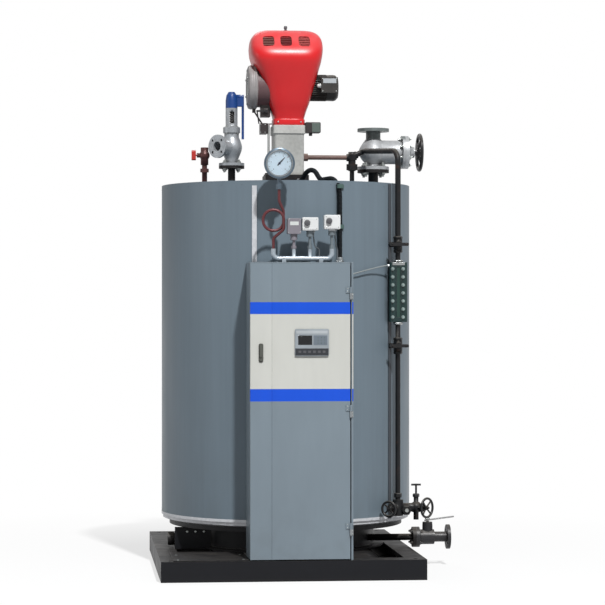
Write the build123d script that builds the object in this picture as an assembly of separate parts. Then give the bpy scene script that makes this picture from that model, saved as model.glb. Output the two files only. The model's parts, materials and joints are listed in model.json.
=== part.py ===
from build123d import *
import os
from math import cos, sin, tan, sqrt, radians, hypot

# Vertical steam boiler with a burner on top, a control cabinet in front and its valves.
# Millimetres. Origin on the floor, under the axis of the round jacket. +Z up, the cabinet faces -Y.

# Running and seating clearances
seat_gap = 0.3            # between a curved or drilled seat and the piece that sits in it
shaft_gap = 0.06          # radial, between a turning shaft and its bore
moving_gap = 5.0          # between a moving piece and what it passes
past = 1.0                # how far a cut runs past the face that it opens

# Jacket, and the levels of the vessel
jacket_radius = 640.0
jacket_wall = 80.0
jacket_top_level = 1946.0
top_plate_thickness = 6.0
ring_low = 212.0
ring_thickness = 23.0
ring_inset = 40.0
trim_height = 27.0
trim_inset = 6.0
trim_slope = 10.0
vessel_wall = 12.0
vessel_head = 20.0
vessel_top_gap = 20.0
strip_width = 24.0
strip_thickness = 3.0
strip_x = -210.0

# Base frame and support
base_width = 1290.0
base_depth = 1530.0
base_height = 100.0
base_shift = -34.0
frame_wall = 8.0
frame_flange = 100.0
anchor_hole_radius = 11.0
pan_thickness = 4.0
beam_spacing = 600.0
beam_width = 100.0
deck_thickness = 5.0
deck_margin = 10.0
deck_lap = 40.0
skirt_inset = 185.0
skirt_wall = 8.0
skirt_foot = 50.0

# Control cabinet
cabinet_reach = 200.0
cabinet_width = 500.0
cabinet_top = 1540.0
cabinet_sheet = 3.0
cabinet_back_gap = 1.5
cabinet_flank = 200.0
front_return = 25.0
post_width = 10.0
door_thickness = 20.0
door_edge = 22.0
door_bottom_gap = 6.0
door_corner = 3.0
door_seam_x = -145.0
door_seam_width = 3.0
hinge_margin = 150.0
hinge_pin_radius = 3.0
hinge_barrel_radius = 5.5
hinge_half = 30.0
hinge_leaf = 3.0
hinge_leaf_width = 22.0
lock_x = -198.0
lock_drop = 438.0
lock_width = 22.0
lock_height = 90.0
lock_handle_width = 14.0
lock_handle_height = 60.0
lock_handle_depth = 10.0
lock_barrel_radius = 9.0
lock_barrel_drop = 30.0
cam_thickness = 3.0
controller_x = 118.0
controller_drop = 388.0
controller_width = 164.0
controller_height = 130.0
controller_depth = 50.0
bezel = 8.0
screen_width = 68.0
screen_height = 46.0
screen_inset = 15.0
screen_rise = 11.0
key_strip_height = 30.0
key_strip_inset = 4.0
recess_depth = 1.5
plate_width = 410.0
plate_margin = 80.0
plate_thickness = 3.0
plate_standoff = 12.0
standoff_radius = 6.0
standoff_inset = 20.0
rail_height = 34.0
rail_depth = 8.0
rail_end = 10.0
duct_width = 380.0
duct_height = 40.0
duct_depth = 50.0

# Burner
burner_x = 11.0
burner_flange_width = 225.0
burner_flange_height = 57.0
burner_flange_corner = 20.0
burner_throat_radius = 70.0
neck_width = 154.0
neck_depth = 180.0
neck_corner = 12.0
neck_collar = 6.0
neck_collar_height = 44.0
neck_height = 256.0
hood_height = 494.0
hood_lean = 14.0
hood_depth_ratio = 0.94
hood_lip_width = 166.0
hood_lip_height = 32.0
hood_widest = 378.0
window_width = 52.0
window_height = 40.0
window_depth = 6.0
window_share = 425 / 494      # of the hood's height
knob_radius = 9.0
knob_height = 25.0
fan_axis_share = 200 / 494    # of the hood's height
motor_radius = 69.0
motor_start = 100.0
motor_end = 271.0
motor_fin_count = 28
motor_fin_depth = 9.0
motor_fin_width = 4.0
terminal_box_start = 160.0
terminal_box_width = 76.0
terminal_box_height = 64.0
terminal_box_depth = 50.0
terminal_box_drop = 30.0
intake_radius = 114.0
intake_face = -199.0
intake_seat = -140.0
intake_spigot_radius = 104.0
intake_spigot_end = -88.0
intake_mouth_radius = 62.0
intake_throat_radius = 50.0
intake_throat_depth = 14.0
servo_gap = 26.0
servo_width = 36.0
servo_depth = 84.0
servo_drop = 42.0         # below the hood
servo_height = 54.0
servo_shift_y = -8.0
sensing_radius = 6.0
link_radius = 4.0
link_lug_radius = 9.0
link_lug_x = -165.0
switch_width = 80.0
switch_depth = 60.0
switch_height = 55.0
switch_drop = 37.0        # below the hood
gland_radius = 9.0
gland_length = 14.0

# Valves on the top
safety_share = 0.4375     # the safety valve's distance from the axis, as a share of the jacket's radius
safety_neck_radius = 19.0
safety_flange_radius = 66.0
safety_flange_thickness = 14.0
safety_joint_level = 2052.0
safety_body_height = 184.0
safety_body_radius = 54.0
safety_waist_radius = 34.0
safety_top_radius = 44.0
safety_outlet_rise = 96.0
safety_outlet_reach = 112.0
safety_outlet_radius = 40.0
safety_outlet_flange = 60.0
safety_outlet_bore = 25.0
safety_bolt_circle = 85.0
safety_bolt_hole = 7.0
bonnet_height = 114.0
bonnet_radius = 31.0
bonnet_window = 24.0
cap_height = 84.0
pivot_rise = 60.0
pivot_reach = 47.0
pivot_boss_radius = 11.0
safety_pin_radius = 4.0
lever_drop = 220.0
lever_thickness = 12.0
lever_width = 14.0
lever_eye_radius = 10.0
vent_share = 0.65625
vent_pipe_radius = 13.5
vent_body_low = 2056.0
vent_body_height = 90.0
vent_body_radius = 20.0
vent_ball_radius = 27.0
vent_hexagon = 38.0
vent_bore_radius = 10.0
vent_boss_radius = 12.0
vent_boss_reach = 40.0
vent_stem_radius = 4.0
vent_stem_depth = 10.0
vent_grip_thickness = 22.0
vent_grip_width = 18.0
vent_grip_height = 52.0
steam_share = 0.728
steam_y = 60.0
steam_neck_radius = 26.0
steam_low_joint = 2039.0
steam_top = 2254.0
steam_flange_radius = 82.5
steam_flange_thickness = 16.0
steam_bolt_circle = 125.0
steam_bolt_hole = 9.0
steam_bore_radius = 25.0
steam_bore_depth = 60.0
steam_stem_level = 2131.0
steam_body_radius = 76.0
steam_waist_radius = 38.0
steam_barrel_radius = 62.0
steam_bonnet_reach = 164.0
steam_bonnet_flange = 86.0
steam_bonnet_thickness = 18.0
steam_gland_radius = 28.0
steam_bonnet_length = 52.0
steam_stem_radius = 9.0
steam_stem_depth = 32.0
steam_wheel_reach = 244.0
steam_wheel_radius = 100.0
steam_wheel_tube = 9.0
steam_hub_radius = 20.0
steam_hub_length = 26.0

# Pipes and the level gauge
union_spacing = 124.0     # from the steam valve's axis
union_y = -40.0
union_radius = 19.0
union_height = 98.0
union_low = 2027.0
union_hexagon = 50.0
union_top_hexagon = 44.0
gas_pipe_level = 2096.0
gas_pipe_radius = 12.0
gas_pipe_depth = 12.0
gas_hexagon = 34.0
union_reach = 28.0
loop_high = 2130.0
loop_low = 2105.0
loop_radius = 14.0
loop_bend = 60.0
column_stand_off = 50.0
column_turn = 40.7
column_strip_width = 26.0
cock_rise = 96.0
cock_radius = 22.0
cock_half = 26.0
cock_boss_radius = 15.0
cock_boss_reach = 40.0
cock_shaft_radius = 5.0
cock_shaft_depth = 15.0
cock_lever_length = 96.0
cock_lever_height = 16.0
cock_lever_thickness = 9.0
gauge_low = 1248.0
gauge_height = 299.0
gauge_width = 90.0
gauge_depth = 48.0
gauge_corner = 6.0
gauge_slot_width = 26.0
gauge_slot_depth = 10.0
gauge_slot_margin = 24.0
gauge_glass_depth = 7.0
lower_cock_drop = 119.0
upper_cock_rise = 89.0
column_pipe_radius = 12.5

# Drain valves at the foot of the column
drain_level = 318.0
drain_pipe_radius = 17.0
drain_post_radius = 26.0
drain_post_half = 40.0
drain_link_radius = 22.0
drain_ball_radius = 30.0
drain_bonnet_radius = 18.0
drain_bonnet_length = 46.0
drain_nut = 42.0
drain_nut_length = 12.0
drain_shaft_radius = 6.0
drain_shaft_depth = 14.0
left_ball_shift = 8.0
right_ball_shift_x = 95.0
right_ball_shift_y = 22.0
left_wheel_radius = 42.0
left_wheel_reach = 92.0
right_wheel_radius = 53.0
right_wheel_reach = 68.0
drain_rim_tube = 6.0
drain_hub_radius = 12.0
drain_hub_length = 12.0
drain_dish = 4.0
test_post_radius = 12.0
test_post_height = 62.0
test_spout_radius = 13.0
test_shaft_radius = 5.0
test_shaft_depth = 14.0
test_handle_height = 118.0
test_bar_length = 48.0

# Blowdown line
blow_y = -200.0
blow_level = 146.0
blow_pipe_radius = 17.0
blow_joint_gap = 10.0     # from the jacket's side to the first flanged joint
blow_valve_length = 175.0
blow_flange_radius = 52.0
blow_flange_thickness = 18.0
blow_end_radius = 62.5
blow_end_thickness = 16.0
blow_body_radius = 26.0
blow_ball_radius = 38.0
blow_ball_start = 22.0
blow_ball_length = 72.0
blow_bore_radius = 16.0
blow_bore_depth = 60.0
blow_bolt_circle = 90.0
blow_bolt_hole = 7.0
blow_stem_start = 62.0
blow_bonnet_radius = 24.0
blow_bonnet_height = 76.0
blow_shaft_radius = 7.0
blow_shaft_depth = 16.0
blow_lever_length = 154.0
blow_lever_back = 16.0
blow_lever_width = 22.0
blow_lever_thickness = 6.0
blow_lever_tilt = 7.0
blow_lever_corner = 9.0

# Instruments above the cabinet
instrument_reach = 120.0
dial_x = -103.0
dial_rise = 275.0
dial_radius = 75.0
dial_shell_radius = 70.0
dial_back_radius = 62.0
dial_face_radius = 59.0
dial_depth = 53.0
dial_recess = 11.0
dial_stem_radius = 9.0
dial_hexagon = 27.0
dial_hexagon_length = 26.0
siphon_x = -131.0
siphon_rise = 138.0
siphon_loop_radius = 50.0
siphon_tube_radius = 7.0
siphon_top_rise = 150.0
manifold_rise = 18.0
manifold_radius = 12.0
manifold_bend = 26.0
manifold_end = 154.0
stub_rise = 48.0
stub_radius = 9.0
bracket_spots = (-80.0, 100.0)
bracket_width = 20.0
bracket_depth = 36.0
limit_x = -31.0
limit_rise = 71.0
limit_width = 66.0
limit_height = 76.0
limit_depth = 56.0
middle_controller_x = 47.0
middle_controller_rise = 88.0
middle_controller_height = 64.0
end_controller_rise = 95.0
end_controller_height = 69.0
controller_box_width = 78.0
controller_box_depth = 60.0
controller_box_corner = 5.0
bellows_radius = 17.0
bellows_height = 30.0
controller_stem_radius = 7.0
controller_hexagon = 22.0
setting_knob_radius = 13.0
setting_knob_length = 12.0
setting_knob_shift = -16.0
setting_knob_share = 0.58

# Conduit and rear outlets
conduit_radius = 12.5
conduit_x = 210.0
conduit_stand_off = 6.0
conduit_rim_rise = 14.0
conduit_arch = 56.0
conduit_shifts = (40.0, 62.0, 75.0, 95.0, 125.0, 150.0)    # leftwards, at each bend on the deck
conduit_clip_width = 44.0
conduit_clip_height = 22.0
conduit_clip_wall = 3.0
flue_radius = 100.0
flue_level = 1700.0
flue_length = 110.0
flue_wall = 3.0
flue_sleeve = 4.0
flue_stand_off = 10.0
feed_level = 145.0
feed_y = -150.0
feed_inset = 55.0
feed_pipe_radius = 21.0
feed_socket_radius = 34.0
feed_socket_length = 32.0
feed_bore_radius = 15.0
feed_bore_length = 25.0

# Sizes that follow
trim_low = ring_low + ring_thickness
shell_low = trim_low + trim_height
shell_top = jacket_top_level - top_plate_thickness
vessel_top = shell_top - vessel_top_gap
vessel_radius = jacket_radius - jacket_wall - seat_gap
ring_radius = jacket_radius - ring_inset
trim_radius = jacket_radius - trim_inset
skirt_radius = jacket_radius - skirt_inset
foot_radius = skirt_radius + skirt_foot
base_front = -(jacket_radius + cabinet_reach)
frame_inner_top = base_height - frame_wall
burner_flange_top = jacket_top_level + burner_flange_height
hood_low = burner_flange_top + neck_height
hood_top = hood_low + hood_height
window_level = hood_low + window_share * hood_height
fan_axis_level = hood_low + fan_axis_share * hood_height
servo_low = hood_low - servo_drop
switch_low = hood_low - switch_drop
neck_left = burner_x - neck_width / 2
neck_right = burner_x + neck_width / 2
cabinet_side = cabinet_width / 2
door_back = base_front + door_thickness
cabinet_front = door_back + moving_gap
cabinet_back = -(jacket_radius + cabinet_back_gap)
door_low = base_height + door_bottom_gap
door_high = cabinet_top - door_bottom_gap
door_right = cabinet_side - post_width - moving_gap
hinge_x = door_right + moving_gap / 2
hinge_y = base_front - hinge_barrel_radius
hinge_levels = (base_height + hinge_margin, (base_height + cabinet_top) / 2, cabinet_top - hinge_margin)
lock_level = cabinet_top - lock_drop
controller_level = cabinet_top - controller_drop
plate_low = base_height + plate_margin
plate_high = cabinet_top - plate_margin
safety_x = -safety_share * jacket_radius
safety_bonnet_low = safety_joint_level + safety_body_height
safety_cap_low = safety_bonnet_low + bonnet_height
safety_outlet_level = safety_joint_level + safety_outlet_rise
safety_outlet_direction = (-0.72, -sqrt(1 - 0.72 ** 2), 0.0)
pivot_level = safety_cap_low + pivot_rise
pivot_x = safety_x + pivot_reach
vent_x = -vent_share * jacket_radius
vent_level = vent_body_low + 50 / 90 * vent_body_height
steam_x = steam_share * jacket_radius
steam_bonnet_x = steam_x + steam_bonnet_reach
steam_wheel_x = steam_x + steam_wheel_reach
union_x = steam_x - union_spacing
column_reach = jacket_radius + column_stand_off
column_out = (cos(radians(column_turn)), -sin(radians(column_turn)), 0.0)
column_x, column_y = column_reach * column_out[0], column_reach * column_out[1]
gauge_high = gauge_low + gauge_height
upper_cock_level = gauge_high + upper_cock_rise
lower_cock_level = gauge_low - lower_cock_drop
left_drain_direction = (-0.53, -sqrt(1 - 0.53 ** 2), 0.0)
right_drain_direction = (0.7, -sqrt(1 - 0.7 ** 2), 0.0)
left_drain_centre = (column_x - left_ball_shift, column_y, drain_level)
right_drain_centre = (column_x + right_ball_shift_x, column_y + right_ball_shift_y, drain_level)
blow_joint = jacket_radius + blow_joint_gap
blow_end = blow_joint + blow_valve_length
blow_stem_x = blow_joint + blow_stem_start
instrument_y = -(jacket_radius + instrument_reach)
manifold_level = cabinet_top + manifold_rise
stub_level = manifold_level + stub_rise
siphon_loop_level = stub_level + siphon_rise
siphon_top = siphon_loop_level + siphon_top_rise
dial_level = siphon_loop_level + dial_rise
dial_back = instrument_y + dial_depth / 2


def span(x, y, z):
    """A block from its low and high limits along each axis."""
    size = [limit[1] - limit[0] for limit in (x, y, z)]
    middle = [(limit[0] + limit[1]) / 2 for limit in (x, y, z)]
    return Pos(*middle) * Box(*size)


def about(middle, width):
    """The limits of a width laid evenly about a middle."""
    return (middle - width / 2, middle + width / 2)


def bar(radius, start, end):
    """A straight round bar between two points."""
    run = Vector(*end) - Vector(*start)
    place = Plane(origin=start, z_dir=run)
    return place * Cylinder(radius, run.length, align=(Align.CENTER, Align.CENTER, Align.MIN))


def upright(radius, low, high, x=0.0, y=0.0):
    """A vertical round bar."""
    return bar(radius, (x, y, low), (x, y, high))


def hexagon(across, start, end):
    """A hexagonal nut body between two points."""
    run = Vector(*end) - Vector(*start)
    face = Plane(origin=start, z_dir=run) * RegularPolygon(across / 2, 6, major_radius=False)
    return extrude(face, amount=run.length, dir=run)


def turned(outline, origin=(0, 0, 0), direction=(0, 0, 1)):
    """A turned piece: outline holds (radius, height) points along the given direction."""
    face = make_face(Plane.XZ * Polyline(*outline, close=True))
    return Plane(origin=origin, z_dir=direction) * revolve(face, Axis.Z)


def bulged(outline, origin, direction=(0, 0, 1)):
    """A turned casting: straight ends, and a smooth curve through the points between them."""
    (first, second), *belly, (before, last) = outline[:2], *outline[2:-2], outline[-2:]
    side = [Line((0, first[1]), first), Line(first, second), Spline(second, *belly, before),
            Line(before, last), Line(last, (0, last[1])), Line((0, last[1]), (0, first[1]))]
    face = make_face(Plane.XZ * Wire([edge for line in side for edge in line.edges()]))
    return Plane(origin=origin, z_dir=direction) * revolve(face, Axis.Z)


def bent(points, bend, radius):
    """A round bar along straight runs joined by arcs."""
    path = FilletPolyline(*points, radius=bend)
    start = Plane(origin=path @ 0, z_dir=path % 0)
    return sweep(start * Circle(radius), path=path)


def along(origin, direction, distance):
    """The point at a distance from the origin along a direction."""
    return tuple(o + d * distance for o, d in zip(origin, direction))


def bolt_holes(hole, circle, origin, direction, depth):
    """Four holes on a bolt circle, going back from the origin face by the depth."""
    place = Plane(origin=origin, z_dir=direction).location
    drills = [place * spot * Cylinder(hole, 2 * depth) for spot in PolarLocations(circle / 2, 4, 45)]
    return Part() + drills


def handwheel(rim_radius, rim_tube, hub_radius, hub_length, dish, origin, direction):
    """A four-spoked handwheel: its rim is centred on the origin and its hub runs back by the dish."""
    reach = rim_radius - rim_tube
    wheel = Torus(reach, rim_tube)
    wheel += Pos(0, 0, -dish) * Cylinder(hub_radius, hub_length)
    for spot in PolarLocations(1, 4, 45):
        out = spot.position
        wheel += bar(0.7 * rim_tube, tuple(out * (hub_radius / 2) - Vector(0, 0, dish)), tuple(out * reach))
    return Plane(origin=origin, z_dir=direction) * wheel


# Base

frame_left = base_shift - base_width / 2
frame_right = base_shift + base_width / 2
frame_back = base_front + base_depth
opening_x = (frame_left + frame_flange, frame_right - frame_flange)
opening_y = (base_front + frame_flange, frame_back - frame_flange)


def base_frame():
    """Channels set on edge round the base, their flanges inwards."""
    body = span((frame_left, frame_right), (base_front, frame_back), (0, base_height))
    body -= span((frame_left + frame_wall, frame_right - frame_wall),
                 (base_front + frame_wall, frame_back - frame_wall),
                 (frame_wall, frame_inner_top))
    body -= span(opening_x, opening_y, (-past, base_height + past))
    for x in (frame_left + frame_flange / 2, frame_right - frame_flange / 2):
        for y in (base_front + frame_flange / 2, frame_back - frame_flange / 2):
            body -= upright(anchor_hole_radius, -past, base_height + past, x, y)
    return body


def base_pan():
    return span((opening_x[0] + seat_gap, opening_x[1] - seat_gap),
                (opening_y[0] + seat_gap, opening_y[1] - seat_gap), (0, pan_thickness))


def base_beams():
    """Box beams under the vessel, coped at both ends to pass under the frame's top flange."""
    beams = []
    for x in (-beam_spacing / 2, beam_spacing / 2):
        beam = span(about(x, beam_width), (base_front + frame_wall, frame_back - frame_wall),
                    (frame_wall, base_height))
        beam -= span(about(x, beam_width - 2 * frame_wall), (base_front, frame_back),
                     (2 * frame_wall, frame_inner_top))
        for cope in ((base_front, opening_y[0] + seat_gap), (opening_y[1] - seat_gap, frame_back)):
            beam -= span(about(x, 2 * beam_width), cope, (frame_inner_top, base_height + past))
        beams.extend(beam.solids())
    return Compound(children=beams)


def front_deck_plate():
    """Cover plate at the front left, ending ahead of the vessel's foot."""
    inner = -cabinet_side - moving_gap
    back = -sqrt((foot_radius + deck_margin) ** 2 - inner ** 2)
    return span((opening_x[0] - deck_lap, inner), (base_front + deck_margin, back),
                (base_height, base_height + deck_thickness))


# Vessel and jacket

def support_skirt():
    inner = skirt_radius - skirt_wall
    foot_top = base_height + skirt_wall
    return turned([(inner, base_height), (foot_radius, base_height), (foot_radius, foot_top),
                   (skirt_radius, foot_top), (skirt_radius, ring_low), (inner, ring_low)])


def bottom_ring():
    return upright(ring_radius, ring_low, trim_low)


def jacket_trim():
    inner = vessel_radius + seat_gap
    return turned([(inner, trim_low), (ring_radius, trim_low), (trim_radius, trim_low + trim_slope),
                   (trim_radius, shell_low), (inner, shell_low)])


def pressure_shell():
    inner = vessel_radius - vessel_wall
    return turned([(0, trim_low), (vessel_radius, trim_low), (vessel_radius, vessel_top), (0, vessel_top),
                   (0, vessel_top - vessel_head), (inner, vessel_top - vessel_head),
                   (inner, trim_low + vessel_head), (0, trim_low + vessel_head)])


def column_branches(clearance):
    """The straight pipes from the vessel out to the level gauge's column."""
    root = vessel_radius + seat_gap - clearance
    branches = Part()
    for radius, level in ((drain_pipe_radius, drain_level), (column_pipe_radius, lower_cock_level),
                          (column_pipe_radius, upper_cock_level)):
        centre = (0, 0, level)
        branches += bar(radius + clearance, along(centre, column_out, root),
                        along(centre, column_out, column_reach))
    return branches


def jacket_shell():
    body = turned([(jacket_radius - jacket_wall, shell_low), (jacket_radius, shell_low),
                   (jacket_radius, shell_top), (jacket_radius - jacket_wall, shell_top)])
    body -= bar(flue_radius + flue_sleeve + seat_gap, (0, vessel_radius / 2, flue_level),
                (0, 2 * jacket_radius, flue_level))
    return body - column_branches(seat_gap)


def jacket_top():
    openings = ((burner_throat_radius, burner_x, 0.0), (safety_neck_radius, safety_x, 0.0),
                (vent_pipe_radius, vent_x, 0.0), (steam_neck_radius, steam_x, steam_y),
                (gas_pipe_radius, union_x, union_y))
    plate = upright(jacket_radius, shell_top, jacket_top_level)
    for radius, x, y in openings:
        plate -= upright(radius + seat_gap, shell_top - past, jacket_top_level + past, x, y)
    return plate


def wall_strip(turn, width, low, high):
    """A flat strip up the jacket's wall, its back curved to the wall, facing out at a turn from +X."""
    out = (jacket_radius + strip_thickness) * Vector(1, 0, 0)
    strip = span((jacket_radius - width, out.X), about(0, width), (low, high))
    return Rot(0, 0, -turn) * strip - upright(jacket_radius + seat_gap, low - past, high + past)


def jacket_strip():
    """Cover strip of the jacket's front seam."""
    wall_y = -sqrt(jacket_radius ** 2 - strip_x ** 2)
    turn = Vector(strip_x, wall_y, 0).get_signed_angle(Vector(1, 0, 0), Vector(0, 0, 1))
    return wall_strip(turn, strip_width, cabinet_top + moving_gap, shell_top - vessel_head)


def column_strip():
    """Backing strip behind the level gauge's column."""
    strip = wall_strip(column_turn, column_strip_width, shell_low, shell_top)
    return strip - column_branches(seat_gap)


def flue_outlet():
    start = (0, vessel_radius + seat_gap, flue_level)
    end = (0, jacket_radius + flue_stand_off + flue_length, flue_level)
    pipe = bar(flue_radius, start, end)
    pipe += bar(flue_radius + flue_sleeve, start, along(end, (0, -1, 0), flue_length))
    return pipe - bar(flue_radius - flue_wall, along(start, (0, -1, 0), past), along(end, (0, 1, 0), past))


# Control cabinet

def cabinet_body():
    """Sheet cabinet open at the front, its flanks run back to the jacket's curve."""
    sheet = cabinet_sheet
    inner_x = about(0, cabinet_width - 2 * sheet)
    body = span(about(0, cabinet_width), (cabinet_front, cabinet_back + cabinet_flank),
                (base_height, cabinet_top))
    body += span((cabinet_side - post_width, cabinet_side), (base_front, cabinet_front),
                 (base_height, cabinet_top))
    body -= upright(jacket_radius + seat_gap, 0, 2 * cabinet_top)
    body -= span(inner_x, (cabinet_front + sheet, cabinet_back - sheet),
                 (base_height + sheet, cabinet_top - sheet))
    body -= span(inner_x, (cabinet_back, cabinet_back + 2 * cabinet_flank),
                 (base_height - past, cabinet_top - sheet))
    body -= span(about(0, cabinet_width - 2 * front_return), (cabinet_front - past, cabinet_front + sheet + past),
                 (base_height + front_return, cabinet_top - front_return))
    return body


def cabinet_door():
    """Pressed door with its long crease, its cut-outs and the upper half of each hinge."""
    door = span((-cabinet_side, door_right), (base_front, door_back), (door_low, door_high))
    front_left = door.edges().filter_by(Axis.Z).group_by(Axis.Y)[0].sort_by(Axis.X)[0]
    door = fillet(front_left, door_corner)
    door -= span((-cabinet_side + door_edge, door_right - door_edge),
                 (base_front + cabinet_sheet, door_back + past), (door_low + door_edge, door_high - door_edge))
    half = door_seam_width / 2
    crease = Plane(origin=(door_seam_x, base_front, door_low - past)) * make_face(
        Polyline((-half, 0), (0, half), (half, 0), close=True))
    door -= extrude(crease, amount=door_high - door_low + 2 * past)
    door -= span(about(controller_x, controller_width - 2 * (bezel - seat_gap)), (base_front - past, door_back),
                 about(controller_level, controller_height - 2 * (bezel - seat_gap)))
    barrel_level = lock_level - lock_barrel_drop
    door -= bar(lock_barrel_radius + seat_gap, (lock_x, base_front - past, barrel_level),
                (lock_x, door_back, barrel_level))
    for level in hinge_levels:
        door += span((door_right - hinge_leaf_width, hinge_x), (base_front - hinge_leaf, base_front),
                     (level, level + hinge_half))
        door += upright(hinge_barrel_radius, level, level + hinge_half, hinge_x, hinge_y)
        door -= upright(hinge_pin_radius + shaft_gap, level - past, level + hinge_half + past, hinge_x, hinge_y)
    return door


def door_hinges():
    """The lower half of each hinge, on the post, with its pin."""
    hinges = []
    for level in hinge_levels:
        half = span((hinge_x, cabinet_side), (base_front - hinge_leaf, base_front),
                    (level - hinge_half, level - seat_gap))
        half += upright(hinge_barrel_radius, level - hinge_half, level - seat_gap, hinge_x, hinge_y)
        half += upright(hinge_pin_radius, level - hinge_half, level + hinge_half - hinge_leaf, hinge_x, hinge_y)
        hinges.extend(half.solids())
    return Compound(children=hinges)


def door_lock():
    """Swing handle lock: its plate, handle and barrel, and the cam behind the sheet."""
    barrel_level = lock_level - lock_barrel_drop
    face = base_front - hinge_leaf
    plate = span(about(lock_x, lock_width), (face, base_front), about(lock_level, lock_height))
    plate = fillet(plate.edges().filter_by(Axis.Y), 0.36 * lock_width)
    handle = span(about(lock_x, lock_handle_width), (face - lock_handle_depth, face),
                  (lock_level - lock_handle_height / 3, lock_level + 2 / 3 * lock_handle_height))
    handle = fillet(handle.edges().filter_by(Axis.Y), 0.36 * lock_handle_width)
    cam_face = base_front + 0.5 * door_thickness
    barrel = bar(lock_barrel_radius, (lock_x, face - 0.5 * lock_handle_depth, barrel_level),
                 (lock_x, cam_face + cam_thickness, barrel_level))
    cam = span(about(lock_x, lock_handle_width), (cam_face, cam_face + cam_thickness),
               (barrel_level - lock_barrel_radius, barrel_level + 3 * lock_barrel_radius))
    return plate + handle + barrel + cam


def door_controller():
    """Controller let into the door, with a sunk screen and a sunk strip of keys."""
    face_y = base_front - bezel
    left = controller_x - controller_width / 2
    low = controller_level - controller_height / 2
    face = span(about(controller_x, controller_width), (face_y, base_front),
                about(controller_level, controller_height))
    face = fillet(face.edges().filter_by(Axis.Y), 0.75 * bezel)
    body = span(about(controller_x, controller_width - 2 * bezel), (base_front, base_front + controller_depth),
                about(controller_level, controller_height - 2 * bezel))
    face -= span((left + screen_inset, left + screen_inset + screen_width), (face_y - past, face_y + recess_depth),
                 about(controller_level + screen_rise, screen_height))
    face -= span(about(controller_x, controller_width - 2 * key_strip_inset),
                 (face_y - past, face_y + 0.7 * recess_depth),
                 (low + key_strip_inset, low + key_strip_inset + key_strip_height))
    return face + body


def mounting_plate():
    back = cabinet_back - cabinet_sheet
    plate = span(about(0, plate_width), (back - plate_standoff - plate_thickness, back - plate_standoff),
                 (plate_low, plate_high))
    for x in about(0, plate_width - 2 * standoff_inset):
        for z in (plate_low + standoff_inset, plate_high - standoff_inset):
            plate += bar(standoff_radius, (x, back - plate_standoff, z), (x, back, z))
    return plate


# Rows of switchgear: level as a share of the plate's height, pitch, depth and height
breaker_row = (0.867, 36.0, 56.0, 84.0)
breaker_count = 9
contactor_row = (0.648, 46.0, 60.0, 78.0)
contactor_count = 5
terminal_row = (0.297, 12.0, 44.0, 52.0)
terminal_count = 24
duct_shares = (0.953, 0.766, 0.531, 0.195)


def switchgear():
    """Rails with breakers, contactors and terminals, and the wire ducts between them."""
    face = cabinet_back - cabinet_sheet - plate_standoff - plate_thickness
    plate_height = plate_high - plate_low
    groups = []
    rows = ((breaker_count, *breaker_row), (contactor_count, *contactor_row), (terminal_count, *terminal_row))
    for count, share, pitch, depth, height in rows:
        level = plate_low + share * plate_height
        length = pitch * count
        row = span(about(0, length + 2 * rail_end), (face - rail_depth, face), about(level, rail_height))
        for spot in GridLocations(pitch, 0, count, 1):
            row += span(about(spot.position.X, pitch - past), (face - depth, face - rail_depth + past),
                        about(level, height))
        groups.extend(row.solids())
    for share in duct_shares:
        duct = span(about(0, duct_width), (face - duct_depth, face),
                    about(plate_low + share * plate_height, duct_height))
        groups.extend(duct.solids())
    return Compound(children=groups)


# Burner

def hood_section(level, width, corner, lean):
    """One section of the hood: a rounded rectangle, moved sideways by its lean."""
    return Pos(lean, 0, level) * RectangleRounded(width, width * hood_depth_ratio, corner)


def burner_hood():
    """Moulded hood: a smooth skin through its sections, leaning over as it widens, on a straight lip."""
    skin_low = hood_low + hood_lip_height
    height = hood_top - skin_low
    # Share of the height, share of the widest section, share of the lean
    stations = ((0.0, 0.42, 1.0), (0.17, 0.555, 1.0), (0.34, 0.696, 1.0), (0.49, 0.82, 0.6), (0.62, 0.931, 0.2),
                (0.72, 0.99, 0.0), (0.80, 1.0, 0.0), (0.88, 0.992, 0.0), (0.94, 0.96, 0.0), (0.98, 0.89, 0.0),
                (1.0, 0.79, 0.0))
    skin = loft([hood_section(skin_low + share * height, wide * hood_widest, 0.24 * wide * hood_widest,
                              lean * hood_lean) for share, wide, lean in stations])
    lip = extrude(hood_section(hood_low, hood_lip_width, 0.2 * hood_lip_width, hood_lean), hood_lip_height)
    hood = skin + lip
    front = -hood_widest * hood_depth_ratio / 2
    for x in (-0.52 * hood_widest / 2, -0.04 * hood_widest / 2, 0.455 * hood_widest / 2):
        hood -= span(about(x, window_width), (front - window_depth, front + window_depth),
                     about(window_level, window_height))
    hood -= bar(motor_radius + seat_gap, (motor_start, 0, fan_axis_level), (2 * motor_end, 0, fan_axis_level))
    hood -= bar(intake_radius + seat_gap, (intake_seat, 0, fan_axis_level), (2 * intake_face, 0, fan_axis_level))
    hood -= bar(intake_spigot_radius + seat_gap, (intake_spigot_end, 0, fan_axis_level),
                (2 * intake_face, 0, fan_axis_level))
    return hood + upright(knob_radius, hood_top - knob_radius, hood_top + knob_height)


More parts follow.
